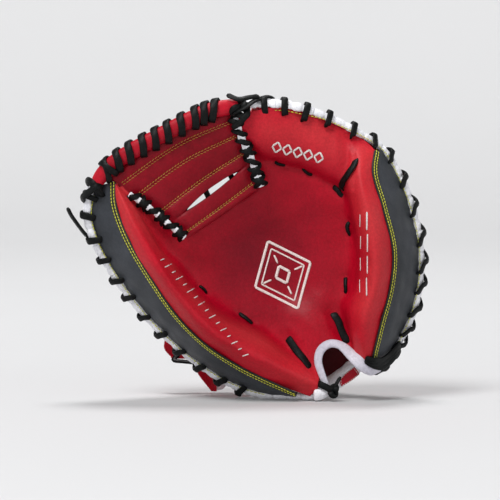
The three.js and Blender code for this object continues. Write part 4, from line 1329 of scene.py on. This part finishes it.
STRAP_WIDTH = 25
STRAP_LINE = [[76, 60, 64], [40, 63.5, 58], [0, 63.5, 51], [-38, 62, 43], [-72, 58, 36]]
HOOKS_LINE = [[-16, 61, 47], [-28, 60.6, 45], [-40, 59.8, 42]]
TAIL_ROWS = [[[-53, 61.2, 34], [-45, 61.4, 34.5], [-36, 61.6, 33]],
             [[-53, 57, 25], [-44, 58, 26], [-36, 58, 21]],
             [[-47, 56, 14], [-40, 58, 14], [-33.5, 58, 12]],
             [[-37, 58, 1], [-35.4, 58.6, 0.6], [-33, 58.6, 0.6]]]
UNDERSIDE_ROWS = [[[-38, 59, 17], [-29, 60, 17], [-20, 60, 14]],
                  [[-38, 59, 9], [-30, 60, 8.5], [-23, 60, 8]],
                  [[-35, 59.5, 2], [-32, 60, 1.6], [-28, 60, 2.4]]]
STRAP_END_ROWS = [[[-75, 57.5, 43], [-66, 58, 40], [-58, 58, 37]],
                  [[-75.5, 57, 36], [-68, 57.5, 33], [-60, 57.8, 33]],
                  [[-71, 56.5, 30], [-64, 57, 27.5], [-56, 57.5, 28]]]
# Laces: points, the way up, width, thickness and seed
STRAP_LACE_END = ([[-62, 60.5, 33], [-66, 56, 29], [-67.5, 52, 26.5], [-60, 52, 25.5], [-52, 53, 24.5],
                   [-45, 54, 22]], (0.1, -0.5, 1), 4.4, 2.2, 5)
THUMB_LACE_END = ([[-134, 2, 128], [-138, 0, 133], [-143, -2, 140], [-147, -3, 146], [-149.5, -4, 151.5]],
                  (-0.75, -0.4, -0.5), 5.0, 2.4, 6)
WEB_TIP_LACES = (
    ([[-20, -20, 222], [-17, -26, 226], [-10, -27, 230], [-3, -22, 235], [2, -16, 237], [8, -12, 238.5],
      [13, -9, 237.5]], (0, -0.5, 1), 4.6, 2.0, 7),
    ([[-24, -22, 240], [-15, -25, 236.5], [-6, -22, 238], [1, -17, 239]], (0, -0.7, 0.6), 4.4, 1.9, 8),
    ([[-20, -24, 214], [-13, -27, 219], [-8, -26, 226], [-9, -20, 234]], FRONT, 4.6, 2.0, 9),
)
THUMB_TIP_LACES = (
    ([[-121, -12, 160], [-125, -17, 166], [-130, -16, 171.5], [-133.5, -9, 173], [-134, -1, 169]],
     (-0.5, -1, 0.3), 5.6, 2.0, 10),
    ([[-121, -14, 169], [-126, -18.5, 168], [-132, -15, 164], [-137, -8, 160], [-137.5, 0, 156]],
     (-0.5, -1, 0), 5.4, 2.0, 11),
)
BUNCH = ((0, 0), (3.2, 1.5), (-2.6, -1.0))      # how far each of its laces lies down and back


def band_grid(line, half_width, offset, count=90, rows=16, taper=0.0):
    """A flat band's grid along a line, square to +Y."""
    middle = even(line, count=count)
    along = unit(np.gradient(middle, axis=0))
    upward = unit(np.stack([-along[:, 2], np.zeros(count), along[:, 0]], axis=1))
    share = np.linspace(-1, 1, rows)[:, None, None]
    ends = 1 - taper * np.clip((np.linspace(0, 1, count) - 0.85) / 0.15, 0, 1) ** 2
    grid = middle[None] + upward[None] * share * (half_width * ends)[None, :, None]
    grid[..., 1] += offset
    return grid


def strap_leather():
    """The strap, sewn along both edges and, in a crossed box, at its fixed end."""
    rows = 16
    grid = band_grid(STRAP_LINE, STRAP_WIDTH / 2, 2.9, rows=rows, taper=0.3)
    dome = 0.7 * np.cos(np.linspace(-1, 1, rows) * np.pi / 2)[:, None]
    grid[..., 1] += dome + 0.35 * waves(grid, 26, 95)
    place(sheet("strap_leather", grid, 2.6, RED, front=BACK), "strap", "red_leather", "wrist_strap")
    inner = np.arange(1, rows - 1)
    lines = [grid[row, 2:-2] for row in (1, -2)] + [grid[inner, column] for column in (3, 11)]
    for start, end in ((3, 11), (11, 3)):
        lines.append(grid[inner, np.linspace(start, end, len(inner)).round().astype(int)])
    threads = Batch()
    for line in lines:
        stitch_row(threads, line + BACK * 0.1, BACK, **STRAP_STITCH)
    place(threads.make("strap_thread", YELLOW), "strap", "red_leather")


def closure():
    """The fleece under the strap, and the hook and loop patches that hold its free end."""
    pile = band_grid([[x - 4, y - 1.9, z - 1] for x, y, z in STRAP_LINE[:3]], 10, 0.0, 70)
    pile[..., 1] += 0.3 * waves(pile, 5, 96)
    made = sheet("strap_fleece", pile, 1.4, FLEECE, edge=0.3)
    place(made, "strap", "white_fleece", "strap_lining")
    hooks = band_grid(HOOKS_LINE, 8.5, 0.0, 40)
    place(sheet("hook_tape", hooks, 1.0, HOOKS, edge=0), "strap", "closure", "strap_hook_patch")
    thumb = back_grid(thumb_back_rim(0.37), THUMB_BACK_EDGE, 1.0, 101, 101, 0.6, step_back=7, inset=0.08)
    loops = thumb[64:75:2, 60:91:2] + BACK * 4.6
    place(sheet("loop_tape", loops, 1.0, HOOKS, front=BACK, edge=0), "thumb", "closure", "strap_loop_patch")


def lace_piece(name, rows, body, *nodes):
    """Laces of one name, from rows of points, the way up, width, thickness and seed."""
    batch = Batch()
    for row in rows:
        lace_bar(batch, *row)
    place(batch.make(name, BLACK), body, "black_rawhide", *nodes)


def tails():
    """The strap's hanging tail, red with a white underside, and the lace ends behind the thumb."""
    made = sheet("tail_leather", patch(TAIL_ROWS, 20, 34), 1.7, RED, edge=0.5)
    place(made, "strap", "red_leather", "strap_tail")
    white = patch(UNDERSIDE_ROWS, 20, 20)
    white = white + waves(white, 9, 77)[..., None] * [0, 0.6, 0]
    place(sheet("tail_underside", white, 1.0, WHITE, edge=0.3), "strap", "white_leather")
    flap = patch(STRAP_END_ROWS, 20, 18)
    place(sheet("strap_end", flap, 1.8, RED, edge=0.5), "strap", "red_leather")
    lace_piece("strap_lace_end", [STRAP_LACE_END], "strap", "strap_lace_tail")
    lace_piece("thumb_lace_end", [THUMB_LACE_END], "thumb", "thumb_lace_tail")


def knots():
    """Lace knots and crossings at the two ends of the web and at the finger side's heel."""
    tip = Batch()
    knot(tip, (-13.5, -24, 228), 6.4, (-0.1, -1, 0.1), 0.9, 5.2)
    for row in WEB_TIP_LACES:
        lace_bar(tip, *row)
    place(tip.make("web_tip_knot", BLACK), "mitt", "black_rawhide")
    lace_piece("thumb_tip_cross", THUMB_TIP_LACES, "thumb")
    bunch = []
    for k, (drop, step) in enumerate(BUNCH):
        points = [[84, -22, 33.5 - drop * 0.3], [90, -21 + step, 31 - drop * 0.7],
                  [97, -14 + step, 29.5 - drop], [104, -6, 33 - drop], [109, -1, 38 - drop],
                  [113, 5, 42 - drop]]
        bunch.append((points, (0.3, -1, -0.3), 4.8, 2.0, 12 + k))
    lace_piece("finger_heel_bunch", bunch, "mitt")


strap_leather()
closure()
tails()
knots()


# Ornaments: plain embroidered figures on the palm

EMBLEM_AT, EMBLEM_TURN = (20, 98), 24
EMBLEM_DIAMONDS = ((48, 58, 2.2), (37, 45, 1.3), (12, 15, 2.4))         # width, height, stroke


def palm_thread(batch, outline, width, height=0.9):
    """A raised satin-stitched line laid on the palm along points in the XZ plane."""
    flat = even([(x, 0.0, z) for x, z in outline], 1.0)
    line, ups = laid_line(PALM, PALM_OUT, flat, 0.2)
    batch.add(sweep(line, ups, width / 2, height / 2, sides=8, squareness=0.9, taper=0.6))


def turned(points, centre, degrees):
    """Points turned about their origin, which is then moved to a centre."""
    c, s = math.cos(math.radians(degrees)), math.sin(math.radians(degrees))
    return [(centre[0] + x * c - z * s, centre[1] + x * s + z * c) for x, z in points]


def diamond(width, height):
    """The four sides of a diamond as point lists."""
    corners = [(0, height / 2), (width / 2, 0), (0, -height / 2), (-width / 2, 0)]
    sides = []
    for (x0, z0), (x1, z1) in zip(corners, corners[1:] + corners[:1]):
        sides.append([(x0, z0), ((x0 + x1) / 2, (z0 + z1) / 2), (x1, z1)])
    return sides


def emblem():
    """Two nested diamonds round a small one, with a short ray at each side."""
    batch = Batch()
    for width, height, stroke in EMBLEM_DIAMONDS:
        for side in diamond(width, height):
            palm_thread(batch, turned(side, EMBLEM_AT, EMBLEM_TURN), stroke)
    for angle in range(0, 360, 90):
        palm_thread(batch, turned([(0, 10), (0, 17)], EMBLEM_AT, EMBLEM_TURN + angle), 1.6)
    place(batch.make("palm_emblem", CREAM_THREAD), "mitt", "white_leather")


def pad_ornaments():
    """Five small diamonds on the index field, bars on the finger pad and dashes on the thumb pad."""
    row, bars, dashes = Batch(), Batch(), Batch()
    for k in range(5):
        for side in diamond(7.4, 8.5):
            palm_thread(row, turned(side, (15 + k * 8.2, 199 - k * 2.0), -14), 1.5, 0.6)
    place(row.make("index_ornament", SILVER), "mitt", "red_leather")
    for k in range(4):
        low = 84 + k * 17
        for x, start, end, width, height in ((85.5, 0, 14, 1.5, 0.6), (80.5, 2, 12, 0.9, 0.5)):
            x -= abs(1.5 - k) * 0.6
            palm_thread(bars, [(x, low + start), (x, low + end)], width, height)
    place(bars.make("finger_ornament", SILVER), "mitt", "red_leather")
    for k in range(16):
        at = np.array([-74 + k * 4.3, 112 - k * 4.95])
        reach = 2.6 if k % 2 else 1.5
        palm_thread(dashes, turned([(-reach, 0), (reach, 0)], at, 20), 1.0, 0.5)
    place(dashes.make("thumb_ornament", SILVER), "bend", "red_leather")


emblem()
pad_ornaments()


# Stage

FLOOR_GLOW, WALL_GLOW = 0.04, 0.34
# The backdrop's profile: radius and height in metres
BACKDROP = [(0.01, 0), (0.6, 0), (1.5, 0), (2.6, 0), (3.4, 0), (4.2, 0.05), (4.9, 0.3), (5.3, 0.8),
            (5.5, 1.6), (5.5, 3.2)]
CAMERA_AIM, CAMERA_ELEVATION, CAMERA_DISTANCE = [-6, 0, 118], 2.5, 2.19         # mm, degrees, m
CAMERA_LENS, CAMERA_SENSOR = 200, 36
LAMPS = (
    # name, place, aim, diameter, power: metres and watts
    ("key", (-1.9, -3.0, 4.9), (0, 0, 0.12), 2.4, 260),
    ("fill", (4.0, -3.0, 1.7), (0, 0, 0.12), 2.6, 22),
    ("top", (0.1, 0.9, 4.1), (0, 0, 0.15), 1.3, 110),
)


def backdrop():
    """A plain pale floor that curves up into a round wall, brighter towards the wall."""
    look = Look("backdrop", 0.9, 0.1)
    look.colour(look.ramp(look.noise(3, 1), [(0.0, rgb(190, 190, 191)), (1.0, rgb(192, 192, 193))]))
    look.tree.links.new(look.attribute("glow"), look.shader.inputs["Emission Strength"])
    look.shader.inputs["Emission Color"].default_value = (1, 1, 1, 1)
    turn = np.linspace(0, 2 * np.pi, 73)
    points = [(r * math.cos(t), r * math.sin(t), z) for r, z in BACKDROP for t in turn]
    mesh = bpy.data.meshes.new("backdrop")
    mesh.from_pydata(points, [], grid_faces(len(BACKDROP), len(turn)))
    smooth(mesh)
    mesh.materials.append(look.material)
    glow = [FLOOR_GLOW + (WALL_GLOW - FLOOR_GLOW) * min(1, r / 5) for r, _ in BACKDROP for _ in turn]
    mesh.attributes.new("glow", "FLOAT", "POINT").data.foreach_set("value", glow)
    made = add_object("backdrop", mesh)
    made.location.z = -0.0005
    return made


def lamp(name, at, aim, size, power):
    """A round soft lamp."""
    data = bpy.data.lights.new(name, "AREA")
    data.shape = "DISK"
    data.size = size
    data.energy = power
    made = add_object(name, data)
    made.location = at
    made.rotation_euler = look_along(at, aim)
    return made


def look_along(at, aim):
    """The turn of a lamp or camera at one place that looks at another."""
    return (Vector(aim) - Vector(at)).to_track_quat("-Z", "Y").to_euler()


def stage():
    """The backdrop, the lamps and a faint even light."""
    backdrop()
    [lamp(*row) for row in LAMPS]
    world = bpy.data.worlds.new("studio")
    world.use_nodes = True
    background = world.node_tree.nodes["Background"]
    background.inputs["Color"].default_value = (0.93, 0.94, 0.96, 1)
    background.inputs["Strength"].default_value = 0.15
    bpy.context.scene.world = world
    bpy.context.scene.view_settings.view_transform = "Standard"


def camera():
    """A long lens, level with the mitt's middle and a little above it."""
    aim = row_frame(CAMERA_AIM)
    elevation = math.radians(CAMERA_ELEVATION)
    at = aim + CAMERA_DISTANCE * np.array([0, -math.cos(elevation), math.sin(elevation)])
    data = bpy.data.cameras.new("camera")
    data.lens = CAMERA_LENS
    data.sensor_width = CAMERA_SENSOR
    made = add_object("camera", data)
    made.location = at.tolist()
    made.rotation_euler = look_along(at.tolist(), aim.tolist())
    bpy.context.scene.camera = made


stage()
camera()
